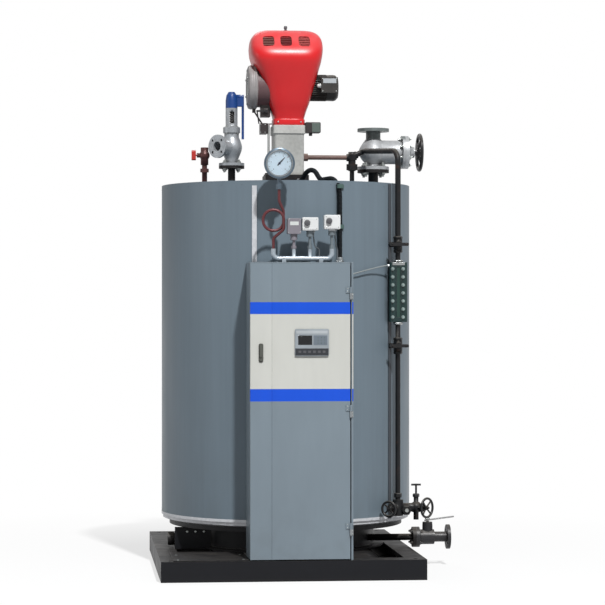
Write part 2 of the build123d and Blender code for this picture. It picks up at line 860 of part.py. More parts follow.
def burner_motor():
    """Fan motor with cooling fins along its barrel, a domed fan cover and a terminal box."""
    start = (motor_start, 0, fan_axis_level)
    length = motor_end - motor_start
    cover = 0.35 * length
    core = motor_radius - motor_fin_depth
    motor = turned([(0, 0), (core, 0), (core, length - cover), (motor_radius, length - cover),
                    (motor_radius, length - 22), (motor_radius - 12, length - 4), (motor_radius - 30, length),
                    (0, length)], start, (1, 0, 0))
    motor += turned([(0, 0), (motor_radius, 0), (motor_radius, 12), (0, 12)], start, (1, 0, 0))
    place = Plane(origin=start, z_dir=(1, 0, 0)).location
    fin = Pos(-motor_fin_depth / 2, 0, (length - cover) / 2) * Box(2 * motor_fin_depth, motor_fin_width,
                                                                    length - cover)
    motor += [place * spot * fin for spot in PolarLocations(motor_radius - motor_fin_depth / 2, motor_fin_count)]
    motor &= bar(motor_radius, start, along(start, (1, 0, 0), length))
    low = fan_axis_level - terminal_box_drop
    box = span((terminal_box_start, terminal_box_start + terminal_box_width),
               (-motor_radius - terminal_box_depth / 2, -motor_radius + terminal_box_depth / 2),
               (low, low + terminal_box_height))
    return motor + (box - bar(core - past, start, along(start, (1, 0, 0), length)))


def air_intake():
    """Round air intake: its flared rim, the throat and the spigot that enters the hood."""
    seat = intake_seat - intake_face
    spigot = intake_spigot_end - intake_face
    return turned([(0, intake_throat_depth), (intake_throat_radius, intake_throat_depth),
                   (intake_mouth_radius, 0), (intake_radius - 22, 0), (intake_radius - 8, 8),
                   (intake_radius, 22), (intake_radius, seat), (intake_spigot_radius, seat),
                   (intake_spigot_radius, spigot), (0, spigot)],
                  (intake_face, 0, fan_axis_level), (1, 0, 0))


def burner_neck():
    neck = span((neck_left, neck_right), about(0, neck_depth), (burner_flange_top, hood_low))
    neck += span((neck_left - neck_collar, neck_right + neck_collar), about(0, neck_depth + 2 * neck_collar),
                 (hood_low - neck_collar_height, hood_low))
    neck = fillet(neck.edges().filter_by(Axis.Z), neck_corner)
    return neck - bar(gas_pipe_radius + seat_gap, (neck_right - gas_pipe_depth, union_y, gas_pipe_level),
                      (neck_right + 2 * gas_pipe_depth, union_y, gas_pipe_level))


def burner_flange():
    plate = span(about(0, burner_flange_width), about(0, burner_flange_width),
                 (jacket_top_level, burner_flange_top))
    plate = fillet(plate.edges().filter_by(Axis.Z), burner_flange_corner)
    return plate + upright(burner_throat_radius, vessel_top, jacket_top_level, burner_x)


servo_right = neck_left - neck_collar - servo_gap
servo_left = servo_right - servo_width
servo_y = about(servo_shift_y, servo_depth)
servo_high = servo_low + servo_height
sensing_x = servo_right + servo_gap / 2 - sensing_radius
sensing_y = servo_shift_y - servo_depth / 4


def burner_servo():
    """Air damper drive left of the neck, on its bracket, with the link up to the air intake."""
    body = span((servo_left, servo_right), servo_y, (servo_low, servo_high))
    body = fillet(body.edges().filter_by(Axis.Z), 5)
    bracket = span((servo_right - past, neck_left - neck_collar), about(servo_shift_y, servo_depth / 2),
                   (servo_high - cabinet_sheet, servo_high))
    intake_low = fan_axis_level - intake_radius
    foot = (servo_left + servo_width / 3, servo_shift_y, servo_high - past)
    head = (link_lug_x, servo_shift_y, intake_low - link_lug_radius)
    lug = upright(link_lug_radius, intake_low - 2 * link_lug_radius, intake_low + link_lug_radius,
                  link_lug_x, servo_shift_y)
    lug -= bar(intake_radius + seat_gap, (intake_face, 0, fan_axis_level), (0, 0, fan_axis_level))
    return body + bracket + bar(link_radius, foot, head) + lug


def sensing_pipe():
    """Thin upright pipe between the burner's flange and the damper drive's bracket."""
    pipe = upright(sensing_radius, burner_flange_top, servo_high - cabinet_sheet, sensing_x, sensing_y)
    return pipe + hexagon(2.4 * sensing_radius, (sensing_x, sensing_y, burner_flange_top),
                          (sensing_x, sensing_y, burner_flange_top + 2.4 * sensing_radius))


def pressure_switch():
    """Small switch box clear of the hood's lip, on a pad against the neck's collar."""
    left = hood_lean + hood_lip_width / 2 + seat_gap
    box = span((left, left + switch_width), (-switch_depth, 0), (switch_low, switch_low + switch_height))
    box = fillet(box.edges().filter_by(Axis.Y), 6)
    box += span((neck_right + neck_collar, left + past), (-0.8 * switch_depth, -0.2 * switch_depth),
                (switch_low + gland_radius, hood_low - seat_gap))
    gland_x = left + 0.375 * switch_width
    return box + upright(gland_radius, switch_low - gland_length, switch_low, gland_x, -switch_depth / 2)


# Safety valve

def top_nozzles():
    """The two flanged nozzles on the vessel's head, for the safety valve and the steam valve."""
    safety_low = safety_joint_level - safety_flange_thickness
    safety = upright(safety_neck_radius, vessel_top, safety_low, safety_x)
    safety += upright(safety_flange_radius, safety_low, safety_joint_level, safety_x)
    steam_low = steam_low_joint - steam_flange_thickness
    steam = upright(steam_neck_radius, vessel_top, steam_low, steam_x, steam_y)
    steam += upright(steam_flange_radius, steam_low, steam_low_joint, steam_x, steam_y)
    return Compound(children=safety.solids() + steam.solids())


def safety_body():
    """Angle casting of the safety valve, flanged below, at its outlet and under the bonnet."""
    high = safety_body_height
    plate = safety_flange_thickness
    body = turned([(0, 0), (safety_flange_radius, 0), (safety_flange_radius, plate), (0, plate)],
                  (safety_x, 0, safety_joint_level))
    body += bulged([(safety_waist_radius, plate), (safety_waist_radius, 0.18 * high),
                    (0.88 * safety_body_radius, 0.36 * high), (safety_body_radius, 0.52 * high),
                    (0.88 * safety_body_radius, 0.68 * high), (safety_waist_radius + 4, 0.8 * high),
                    (safety_waist_radius + 4, high - plate)],
                   (safety_x, 0, safety_joint_level))
    body += upright(safety_top_radius, safety_bonnet_low - plate, safety_bonnet_low, safety_x)
    centre = (safety_x, 0, safety_outlet_level)
    tip = along(centre, safety_outlet_direction, safety_outlet_reach)
    body += bar(safety_outlet_radius, centre, tip)
    body += bar(safety_outlet_flange, along(tip, safety_outlet_direction, -plate), tip)
    body -= bar(safety_outlet_bore, along(tip, safety_outlet_direction, -0.65 * safety_outlet_reach),
                along(tip, safety_outlet_direction, past))
    return body - bolt_holes(safety_bolt_hole, safety_bolt_circle, tip, safety_outlet_direction, 2 * plate)


def safety_bonnet():
    """Spring housing with an open window through which the spindle shows."""
    low, high = safety_bonnet_low, safety_cap_low
    plate = safety_flange_thickness
    bonnet = turned([(0, low), (safety_top_radius, low), (safety_top_radius, low + plate),
                     (bonnet_radius, low + 1.6 * plate), (bonnet_radius, high), (0, high)], (safety_x, 0, 0))
    bonnet -= span(about(safety_x, bonnet_window), about(0, 4 * bonnet_radius),
                   (low + 0.3 * bonnet_height, high - 0.16 * bonnet_height))
    return bonnet + upright(safety_bolt_hole, low + plate, high - past, safety_x)


def safety_cap():
    low = safety_cap_low
    cap = turned([(0, low), (bonnet_radius, low), (bonnet_radius, low + 0.48 * cap_height),
                  (0.87 * bonnet_radius, low + 0.79 * cap_height), (0.52 * bonnet_radius, low + cap_height),
                  (0, low + cap_height)], (safety_x, 0, 0))
    cap += bar(pivot_boss_radius, (safety_x, 0, pivot_level), (pivot_x, 0, pivot_level))
    return cap - bar(safety_pin_radius + shaft_gap, (pivot_x - 2.5 * safety_pin_radius, 0, pivot_level),
                     (pivot_x + past, 0, pivot_level))


def safety_lever():
    near = pivot_x + moving_gap
    far = near + lever_thickness
    arm = bar(lever_eye_radius, (near, 0, pivot_level), (far, 0, pivot_level))
    arm += span((near, far), about(0, lever_width), (pivot_level - lever_drop, pivot_level))
    pin_end = (pivot_x - 2.5 * safety_pin_radius + seat_gap, 0, pivot_level)
    return arm + bar(safety_pin_radius, pin_end, (far, 0, pivot_level))


# Vent valve

vent_boss_x = vent_x - vent_boss_reach


def vent_valve():
    low, high = vent_body_low, vent_body_low + vent_body_height
    pipe = upright(vent_pipe_radius, vessel_top, low, vent_x)
    pipe += hexagon(vent_hexagon, (vent_x, 0, low - vent_hexagon), (vent_x, 0, low - vent_hexagon / 2))
    body = upright(vent_body_radius, low, high, vent_x)
    body += Pos(vent_x, 0, vent_level) * Sphere(vent_ball_radius)
    body += bar(vent_boss_radius, (vent_x, 0, vent_level), (vent_boss_x, 0, vent_level))
    body -= upright(vent_bore_radius, vent_level, high + past, vent_x)
    body -= bar(vent_stem_radius + shaft_gap, (vent_boss_x + vent_stem_depth, 0, vent_level),
                (vent_boss_x - past, 0, vent_level))
    return pipe + body


def vent_handle():
    face = vent_boss_x - moving_gap
    stem = bar(vent_stem_radius, (vent_boss_x + vent_stem_depth - seat_gap, 0, vent_level),
               (face, 0, vent_level))
    grip = span((face - vent_grip_thickness, face), about(0, vent_grip_width),
                about(vent_level, vent_grip_height))
    return stem + fillet(grip.edges().filter_by(Axis.X), 0.4 * vent_grip_width)


# Steam stop valve

def steam_valve_body():
    """Globe casting between two pipe flanges, with its barrel turned to the right for the bonnet."""
    low, high = steam_low_joint, steam_top
    plate = steam_flange_thickness
    centre = (steam_x, steam_y, steam_stem_level)
    body = upright(steam_flange_radius, low, low + plate, steam_x, steam_y)
    body += upright(steam_flange_radius, high - plate, high, steam_x, steam_y)
    stem_rise = steam_stem_level - low
    body += bulged([(steam_waist_radius, plate), (steam_waist_radius, 0.33 * stem_rise),
                    (0.85 * steam_body_radius, 0.65 * stem_rise), (steam_body_radius, stem_rise),
                    (0.85 * steam_body_radius, 1.35 * stem_rise), (steam_waist_radius, 1.75 * stem_rise),
                    (steam_waist_radius, high - low - plate)], (steam_x, steam_y, low))
    joint = (steam_bonnet_x, steam_y, steam_stem_level)
    body += bar(steam_barrel_radius, centre, joint)
    body += bar(steam_bonnet_flange, along(joint, (-1, 0, 0), plate), joint)
    body -= upright(steam_bore_radius, high - steam_bore_depth, high + past, steam_x, steam_y)
    return body - bolt_holes(steam_bolt_hole, steam_bolt_circle, (steam_x, steam_y, high), (0, 0, 1), 1.1 * plate)


def steam_bonnet():
    start = (steam_bonnet_x, steam_y, steam_stem_level)
    plate = steam_bonnet_thickness
    bonnet = turned([(0, 0), (steam_bonnet_flange, 0), (steam_bonnet_flange, plate),
                     (1.6 * steam_gland_radius, 1.4 * plate), (steam_gland_radius, 2.2 * plate),
                     (steam_gland_radius, steam_bonnet_length), (0, steam_bonnet_length)], start, (1, 0, 0))
    return bonnet - bar(steam_stem_radius + shaft_gap,
                        along(start, (1, 0, 0), steam_bonnet_length - steam_stem_depth),
                        along(start, (1, 0, 0), steam_bonnet_length + past))


def steam_handwheel():
    hub = (steam_wheel_x, steam_y, steam_stem_level)
    stem_start = steam_bonnet_x + steam_bonnet_length - steam_stem_depth + seat_gap
    stem = bar(steam_stem_radius, (stem_start, steam_y, steam_stem_level),
               along(hub, (1, 0, 0), steam_hub_length / 2))
    return stem + handwheel(steam_wheel_radius, steam_wheel_tube, steam_hub_radius, steam_hub_length,
                            steam_wheel_tube, hub, (1, 0, 0))


# Gas pipe, its union and the pipe loop to the level gauge

loop_rise = (0.9, 0.0, sqrt(1 - 0.9 ** 2))
union_centre = (union_x, union_y, gas_pipe_level + 4)


def gas_pipe():
    axis = (1, 0, 0)
    wall = (neck_right, union_y, gas_pipe_level)
    pipe = bar(gas_pipe_radius, along(wall, axis, -gas_pipe_depth), (union_x - union_reach, union_y, gas_pipe_level))
    return pipe + hexagon(gas_hexagon, along(wall, axis, seat_gap), along(wall, axis, 2 * gas_pipe_depth))


def pipe_union():
    """Upright union in three nuts, with a branch to each pipe."""
    x, y, low = union_x, union_y, union_low
    cluster = upright(gas_pipe_radius, vessel_top, low + past, x, y)
    cluster += upright(union_radius, low, low + union_height, x, y)
    cluster += hexagon(union_hexagon, (x, y, low + 4), (x, y, low + 0.36 * union_height))
    cluster += hexagon(union_top_hexagon, (x, y, low + 0.58 * union_height), (x, y, low + 0.87 * union_height))
    cluster += bar(union_radius, (x - union_reach, y, gas_pipe_level), (x, y, gas_pipe_level))
    return cluster + bar(union_radius, union_centre, along(union_centre, loop_rise, union_reach))


def gauge_loop_pipe():
    """The union and the pipe that loops over from it and down into the upper cock."""
    start = along(union_centre, loop_rise, union_reach / 2)
    corner = along(union_centre, loop_rise, (loop_high - union_centre[2]) / loop_rise[2])
    over = (column_x, column_y, loop_low)
    end = (column_x, column_y, upper_cock_level + cock_half)
    return pipe_union() + bent([start, corner, over, end], [0.4 * loop_bend, loop_bend], loop_radius)


def cock(level):
    """One gauge cock on the column, with its branch back to the vessel and a boss for its lever."""
    body = upright(cock_radius, level - cock_half, level + cock_half, column_x, column_y)
    body += bar(column_pipe_radius, along((0, 0, level), column_out, vessel_radius + seat_gap),
                (column_x, column_y, level))
    boss = column_y - cock_boss_reach
    body += bar(cock_boss_radius, (column_x, column_y, level), (column_x, boss, level))
    return body - bar(cock_shaft_radius + shaft_gap, (column_x, boss + cock_shaft_depth, level),
                      (column_x, boss - past, level))


def gauge_cocks():
    """Both cocks with their short pipes to the gauge, and the drain pipe below the lower one."""
    upper = cock(upper_cock_level)
    upper += upright(column_pipe_radius, gauge_high, upper_cock_level, column_x, column_y)
    lower = cock(lower_cock_level)
    lower += upright(column_pipe_radius, lower_cock_level, gauge_low, column_x, column_y)
    lower += upright(column_pipe_radius, drain_level + drain_post_half, lower_cock_level, column_x, column_y)
    return Compound(children=upper.solids() + lower.solids())


def cock_lever(level):
    boss = column_y - cock_boss_reach
    face = boss - moving_gap
    shaft = bar(cock_shaft_radius, (column_x, boss + cock_shaft_depth - seat_gap, level), (column_x, face, level))
    arm = span(about(column_x, cock_lever_length), (face - cock_lever_thickness, face),
               about(level, cock_lever_height))
    return shaft + fillet(arm.edges().filter_by(Axis.Y), 0.44 * cock_lever_height)


def upper_cock_lever():
    return cock_lever(upper_cock_level)


def lower_cock_lever():
    return cock_lever(lower_cock_level)


gauge_front = column_y - gauge_depth / 2


def level_gauge_body():
    body = span(about(column_x, gauge_width), about(column_y, gauge_depth), (gauge_low, gauge_high))
    body = chamfer(body.edges().filter_by(Axis.Z), gauge_corner)
    return body - span(about(column_x, gauge_slot_width), (gauge_front - past, gauge_front + gauge_slot_depth),
                       (gauge_low + gauge_slot_margin, gauge_high - gauge_slot_margin))


def level_gauge_glass():
    back = gauge_front + gauge_slot_depth
    return span(about(column_x, gauge_slot_width - 2 * seat_gap), (back - gauge_glass_depth, back),
                (gauge_low + gauge_slot_margin + seat_gap, gauge_high - gauge_slot_margin - seat_gap))


# Drain valves at the foot of the column

def drain_manifold():
    """Drain post on its pipe from the vessel, with two globe valves and a small test cock."""
    pipe = bar(drain_pipe_radius, along((0, 0, drain_level), column_out, vessel_radius + seat_gap),
               (column_x, column_y, drain_level))
    pipe += upright(drain_post_radius, drain_level - drain_post_half, drain_level + drain_post_half,
                    column_x, column_y)
    pipe += bar(drain_link_radius, (column_x, column_y, drain_level), right_drain_centre)
    for centre, direction in ((left_drain_centre, left_drain_direction),
                              (right_drain_centre, right_drain_direction)):
        face = drain_bonnet_length
        nut_end = face - drain_nut_length / 2
        pipe += Pos(*centre) * Sphere(drain_ball_radius)
        pipe += bar(drain_bonnet_radius, centre, along(centre, direction, face))
        pipe += hexagon(drain_nut, along(centre, direction, nut_end - drain_nut_length),
                        along(centre, direction, nut_end))
        pipe -= bar(drain_shaft_radius + shaft_gap, along(centre, direction, face - drain_shaft_depth),
                    along(centre, direction, face + past))
    x, y, level = right_drain_centre
    post_top = level + test_post_height
    pipe += upright(test_post_radius, level, post_top, x, y)
    pipe += upright(test_spout_radius, level - test_post_height, level, x, y)
    return pipe - upright(test_shaft_radius + shaft_gap, post_top - test_shaft_depth, post_top + past, x, y)


def drain_wheel(centre, direction, radius, reach):
    seat = along(centre, direction, drain_bonnet_length - drain_shaft_depth + seat_gap)
    hub = along(centre, direction, reach)
    wheel = handwheel(radius, drain_rim_tube, drain_hub_radius, drain_hub_length, drain_dish, hub, direction)
    return wheel + bar(drain_shaft_radius, seat, along(hub, direction, drain_hub_length))


def left_drain_wheel():
    return drain_wheel(left_drain_centre, left_drain_direction, left_wheel_radius, left_wheel_reach)


def right_drain_wheel():
    return drain_wheel(right_drain_centre, right_drain_direction, right_wheel_radius, right_wheel_reach)


def test_cock_handle():
    x, y, level = right_drain_centre
    low = level + test_post_height - test_shaft_depth + seat_gap
    high = level + test_handle_height
    tee = high - test_shaft_radius
    reach = test_bar_length / 2
    return upright(test_shaft_radius, low, high, x, y) + bar(test_shaft_radius, (x - reach, y, tee),
                                                             (x + reach, y, tee))


# Blowdown line

def blowdown_pipe():
    start = sqrt(skirt_radius ** 2 - blow_y ** 2) - 2 * skirt_wall
    joint = (blow_joint, blow_y, blow_level)
    back = along(joint, (-1, 0, 0), blow_flange_thickness)
    pipe = bar(blow_pipe_radius, (start, blow_y, blow_level), back)
    pipe -= upright(skirt_radius + seat_gap, 0, 2 * ring_low)
    return pipe + bar(blow_flange_radius, back, joint)


def blowdown_valve():
    """Flanged ball valve with an open outlet and a bonnet for its lever."""
    axis = (1, 0, 0)
    joint = (blow_joint, blow_y, blow_level)
    end = (blow_end, blow_y, blow_level)
    body = bar(blow_flange_radius, joint, along(joint, axis, blow_flange_thickness))
    body += bar(blow_body_radius, joint, end)
    body += bar(blow_ball_radius, along(joint, axis, blow_ball_start),
                along(joint, axis, blow_ball_start + blow_ball_length))
    body += bar(blow_end_radius, along(end, axis, -blow_end_thickness), end)
    body -= bolt_holes(blow_bolt_hole, blow_bolt_circle, end, axis, 1.1 * blow_end_thickness)
    body -= bar(blow_bore_radius, along(end, axis, -blow_bore_depth), along(end, axis, past))
    bonnet_top = blow_level + blow_bonnet_height
    body += upright(blow_bonnet_radius, blow_level, bonnet_top, blow_stem_x, blow_y)
    return body - upright(blow_shaft_radius + shaft_gap, bonnet_top - blow_shaft_depth, bonnet_top + past,
                          blow_stem_x, blow_y)


def blowdown_lever():
    """Flat lever that rises a little towards its end."""
    bonnet_top = blow_level + blow_bonnet_height
    rise = blow_lever_back * tan(radians(blow_lever_tilt))
    low = bonnet_top + moving_gap + rise
    arm = span((-blow_lever_back, blow_lever_length - blow_lever_back), about(0, blow_lever_width),
               (0, blow_lever_thickness))
    arm = fillet(arm.edges().filter_by(Axis.Z), blow_lever_corner)
    arm = Pos(blow_stem_x, blow_y, low) * Rot(0, -blow_lever_tilt, 0) * arm
    return arm + upright(blow_shaft_radius, bonnet_top - blow_shaft_depth + seat_gap,
                         low + blow_lever_thickness / 2, blow_stem_x, blow_y)


# Feed water inlet on the left

def feed_inlet():
    start = -sqrt(skirt_radius ** 2 - feed_y ** 2) + 2 * skirt_wall
    face = (-(jacket_radius - feed_inset), feed_y, feed_level)
    pipe = bar(feed_pipe_radius, (start, feed_y, feed_level), face)
    pipe -= upright(skirt_radius + seat_gap, 0, 2 * ring_low)
    end = along(face, (-1, 0, 0), feed_socket_length)
    pipe += bar(feed_socket_radius, face, end)
    return pipe - bar(feed_bore_radius, along(end, (1, 0, 0), feed_bore_length), along(end, (-1, 0, 0), past))


# Instruments

def gauge_case():
    """Dial gauge case with its bezel ring, and the stem down to the siphon."""
    depth = dial_depth
    recess = depth - dial_recess
    case = turned([(0, 0), (dial_back_radius, 0), (dial_shell_radius, 8), (dial_shell_radius, depth - 15),
                   (dial_radius, depth - 13), (dial_radius, depth - 3), (dial_radius - 5, depth),
                   (dial_face_radius + 3, depth), (dial_face_radius, depth - 3), (dial_face_radius, recess),
                   (0, recess)], (dial_x, dial_back, dial_level), (0, -1, 0))
    case += upright(dial_stem_radius, siphon_top, dial_level - 0.9 * dial_shell_radius, dial_x, instrument_y)
    return case + hexagon(dial_hexagon, (dial_x, instrument_y, siphon_top),
                          (dial_x, instrument_y, siphon_top + dial_hexagon_length))


def gauge_face():
    recess = (dial_x, dial_back - dial_depth + dial_recess, dial_level)
    return bar(dial_face_radius - seat_gap, recess, along(recess, (0, -1, 0), 0.2 * dial_recess))


def siphon():
    """Pigtail siphon: a full loop of tube between two upright ends."""
    x, y, z = siphon_x, instrument_y, siphon_loop_level
    r = siphon_loop_radius
    gap = siphon_tube_radius + 5 * seat_gap
    points = [
        (x, y, stub_level), (x, y, z - 1.75 * r), (x + r, y - gap, z - 0.9 * r),
        (x + r, y - gap, z + r), (x - r, y - gap * 0.4, z + r), (x - r, y + gap * 0.4, z - r),
        (x + r, y + gap, z - r), (x + r, y + gap, z + 0.9 * r), (dial_x, y, z + 1.9 * r),
        (dial_x, y, siphon_top),
    ]
    bends = [r * share for share in (0.5, 0.5, 0.98, 0.98, 0.98, 0.9, 0.4, 0.5)]
    return bent(points, bends, siphon_tube_radius)


def instrument_manifold():
    y, z = instrument_y, manifold_level
    tube = bent([(siphon_x, y, stub_level), (siphon_x, y, z), (manifold_end, y, z),
                 (manifold_end, y, stub_level)], manifold_bend, manifold_radius)
    for x in (limit_x, middle_controller_x):
        tube += upright(stub_radius, z, stub_level, x, y)
    for x in bracket_spots:
        tube += span(about(x, bracket_width), about(y, bracket_depth), (cabinet_top, z + manifold_radius / 3))
    return tube


def controller_on_stem(x, rise, width, height, depth):
    """One controller: its box, the bellows under it and its stem to the manifold."""
    y = instrument_y
    low = stub_level + rise
    bellows_low = low - bellows_height
    box = span(about(x, width), about(y, depth), (low, low + height))
    box = fillet(box.edges().filter_by(Axis.Y), controller_box_corner)
    box += upright(bellows_radius, bellows_low, low, x, y)
    box += upright(controller_stem_radius, stub_level, bellows_low, x, y)
    return box + hexagon(controller_hexagon, (x, y, stub_level), (x, y, stub_level + bellows_height / 2))


def limit_controller():
    return controller_on_stem(limit_x, limit_rise, limit_width, limit_height, limit_depth)


def pressure_controllers():
    """The two white controllers, each with a setting knob on the left of its face."""
    pair = []
    for x, rise, height in ((middle_controller_x, middle_controller_rise, middle_controller_height),
                            (manifold_end, end_controller_rise, end_controller_height)):
        box = controller_on_stem(x, rise, controller_box_width, height, controller_box_depth)
        knob = (x + setting_knob_shift, instrument_y - controller_box_depth / 2,
                stub_level + rise + setting_knob_share * height)
        box += bar(setting_knob_radius, knob, along(knob, (0, -1, 0), setting_knob_length))
        pair.extend(box.solids())
    return Compound(children=pair)


# Conduit from the cabinet to the burner

def conduit():
    """Flexible conduit up the jacket and over its rim, with an arch before the burner's flange."""
    x = conduit_x
    wall = -sqrt(jacket_radius ** 2 - x ** 2)
    out = wall - conduit_radius - conduit_stand_off
    rim = jacket_top_level + conduit_rim_rise
    deck = jacket_top_level + conduit_radius
    end = -burner_flange_width / 2 - seat_gap
    run = end - out
    shares = (0.18, 0.30, 0.42, 0.54, 0.68, 0.80)
    levels = (rim, deck, deck, deck + conduit_arch, deck + conduit_arch, deck + conduit_stand_off)
    route = [
        (x, out, cabinet_top), (x, out, rim),
        *[(x - shift, out + share * run, level) for shift, share, level in zip(conduit_shifts, shares, levels)],
        (x - conduit_shifts[-1], end, deck + conduit_stand_off),
    ]
    bends = []
    for before, point, after in zip(route, route[1:], route[2:]):
        one, two = Vector(*point) - Vector(*before), Vector(*after) - Vector(*point)
        turn = radians(one.get_angle(two))
        bends.append(0.45 * min(one.length, two.length) / max(0.05, tan(turn / 2)))
    pieces = bent(route, bends, conduit_radius).solids()
    for share in (0.44, 0.93):
        level = cabinet_top + share * (jacket_top_level - cabinet_top)
        clip = span(about(x, conduit_clip_width), (out - conduit_radius - conduit_clip_wall, wall + conduit_clip_width),
                    about(level, conduit_clip_height))
        clip -= upright(conduit_radius + seat_gap, level - conduit_clip_height, level + conduit_clip_height, x, out)
        clip -= upright(jacket_radius + seat_gap / 2, level - conduit_clip_height, level + conduit_clip_height)
        pieces.extend(clip.solids())
    return Compound(children=pieces)


pieces = (
    base_frame, base_pan, base_beams, front_deck_plate, support_skirt, bottom_ring, jacket_trim,
    pressure_shell, jacket_shell, jacket_top, jacket_strip, column_strip, flue_outlet, cabinet_body,
    cabinet_door, door_hinges, door_lock, door_controller, mounting_plate, switchgear, burner_hood,
    burner_motor, air_intake, burner_neck, burner_flange, burner_servo, sensing_pipe, pressure_switch,
    top_nozzles, safety_body, safety_bonnet, safety_cap, safety_lever, vent_valve, vent_handle,
    steam_valve_body, steam_bonnet, steam_handwheel, gas_pipe, gauge_loop_pipe, gauge_cocks,
    upper_cock_lever, lower_cock_lever, level_gauge_body, level_gauge_glass, drain_manifold,
    left_drain_wheel, right_drain_wheel, test_cock_handle, blowdown_pipe, blowdown_valve,
    blowdown_lever, feed_inlet, gauge_case, gauge_face, siphon, instrument_manifold, limit_controller,
    pressure_controllers, conduit,
)

os.makedirs("parts", exist_ok=True)
for make in pieces:
    export_step(make(), f"parts/{make.__name__}.step")
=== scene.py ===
import json
import math
import bmesh
import bpy
from mathutils import Matrix, Vector


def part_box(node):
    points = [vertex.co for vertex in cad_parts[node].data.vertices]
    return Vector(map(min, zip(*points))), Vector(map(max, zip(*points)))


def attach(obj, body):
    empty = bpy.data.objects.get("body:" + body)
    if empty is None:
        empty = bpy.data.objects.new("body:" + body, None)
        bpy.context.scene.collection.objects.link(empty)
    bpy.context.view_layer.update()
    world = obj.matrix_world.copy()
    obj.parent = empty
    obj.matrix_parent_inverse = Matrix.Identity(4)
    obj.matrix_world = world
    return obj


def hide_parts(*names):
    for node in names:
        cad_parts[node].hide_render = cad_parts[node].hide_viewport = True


# A vertical steam boiler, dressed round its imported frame. Metres, +Z up, the control cabinet faces -Y.

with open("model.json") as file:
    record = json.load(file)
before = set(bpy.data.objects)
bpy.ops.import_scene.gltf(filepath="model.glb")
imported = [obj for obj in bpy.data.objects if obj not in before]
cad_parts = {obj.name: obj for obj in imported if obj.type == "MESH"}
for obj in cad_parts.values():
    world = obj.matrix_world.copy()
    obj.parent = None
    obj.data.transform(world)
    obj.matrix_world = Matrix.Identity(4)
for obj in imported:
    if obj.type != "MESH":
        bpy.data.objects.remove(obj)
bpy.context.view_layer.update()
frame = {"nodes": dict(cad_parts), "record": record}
nodes = frame["nodes"]
record = frame["record"]
body_of_node = {node: body for body, held in record["behaviour"]["bodies"].items() for node in held}
slot_of_node = {part["node"]: part["material_slot"] for part in record["subparts"]}

MERGE = 0.00002
RIGHT, BACK, UP = Vector((1, 0, 0)), Vector((0, 1, 0)), Vector((0, 0, 1))
LEFT, FRONT = -RIGHT, -BACK


class Place:
    """Where a node lies: its low and high corners, its middle and its size."""

    def __init__(self, node):
        self.low, self.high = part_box(node)
        self.middle = (self.low + self.high) / 2
        self.size = self.high - self.low


def facing(origin, direction):
    """A place whose Z axis points along the direction, with its Y axis as far up as it can be."""
    spin = Vector(direction).to_track_quat("Z", "Y").to_matrix().to_4x4()
    return Matrix.Translation(origin) @ spin


class Wiring:
    """A node tree being wired up, for a finish or for a repeated shape."""

    def __init__(self, tree):
        self.tree = tree

    def add(self, kind, inputs=(), **settings):
        node = self.tree.nodes.new(kind)
        for name, value in settings.items():
            setattr(node, name, value)
        for socket, value in dict(inputs).items():
            if isinstance(value, bpy.types.NodeSocket):
                self.tree.links.new(value, node.inputs[socket])
            elif value is not None:
                node.inputs[socket].default_value = value
        return node

    def out(self, kind, inputs=(), output=0, **settings):
        return self.add(kind, inputs, **settings).outputs[output]


# Finishes

def shade(red, green, blue):
    """A screen colour from 0 to 255 as the linear light that a shader wants."""
    parts = [part / 255 for part in (red, green, blue)]
    return (*[p / 12.92 if p <= 0.04045 else ((p + 0.055) / 1.055) ** 2.4 for p in parts], 1.0)


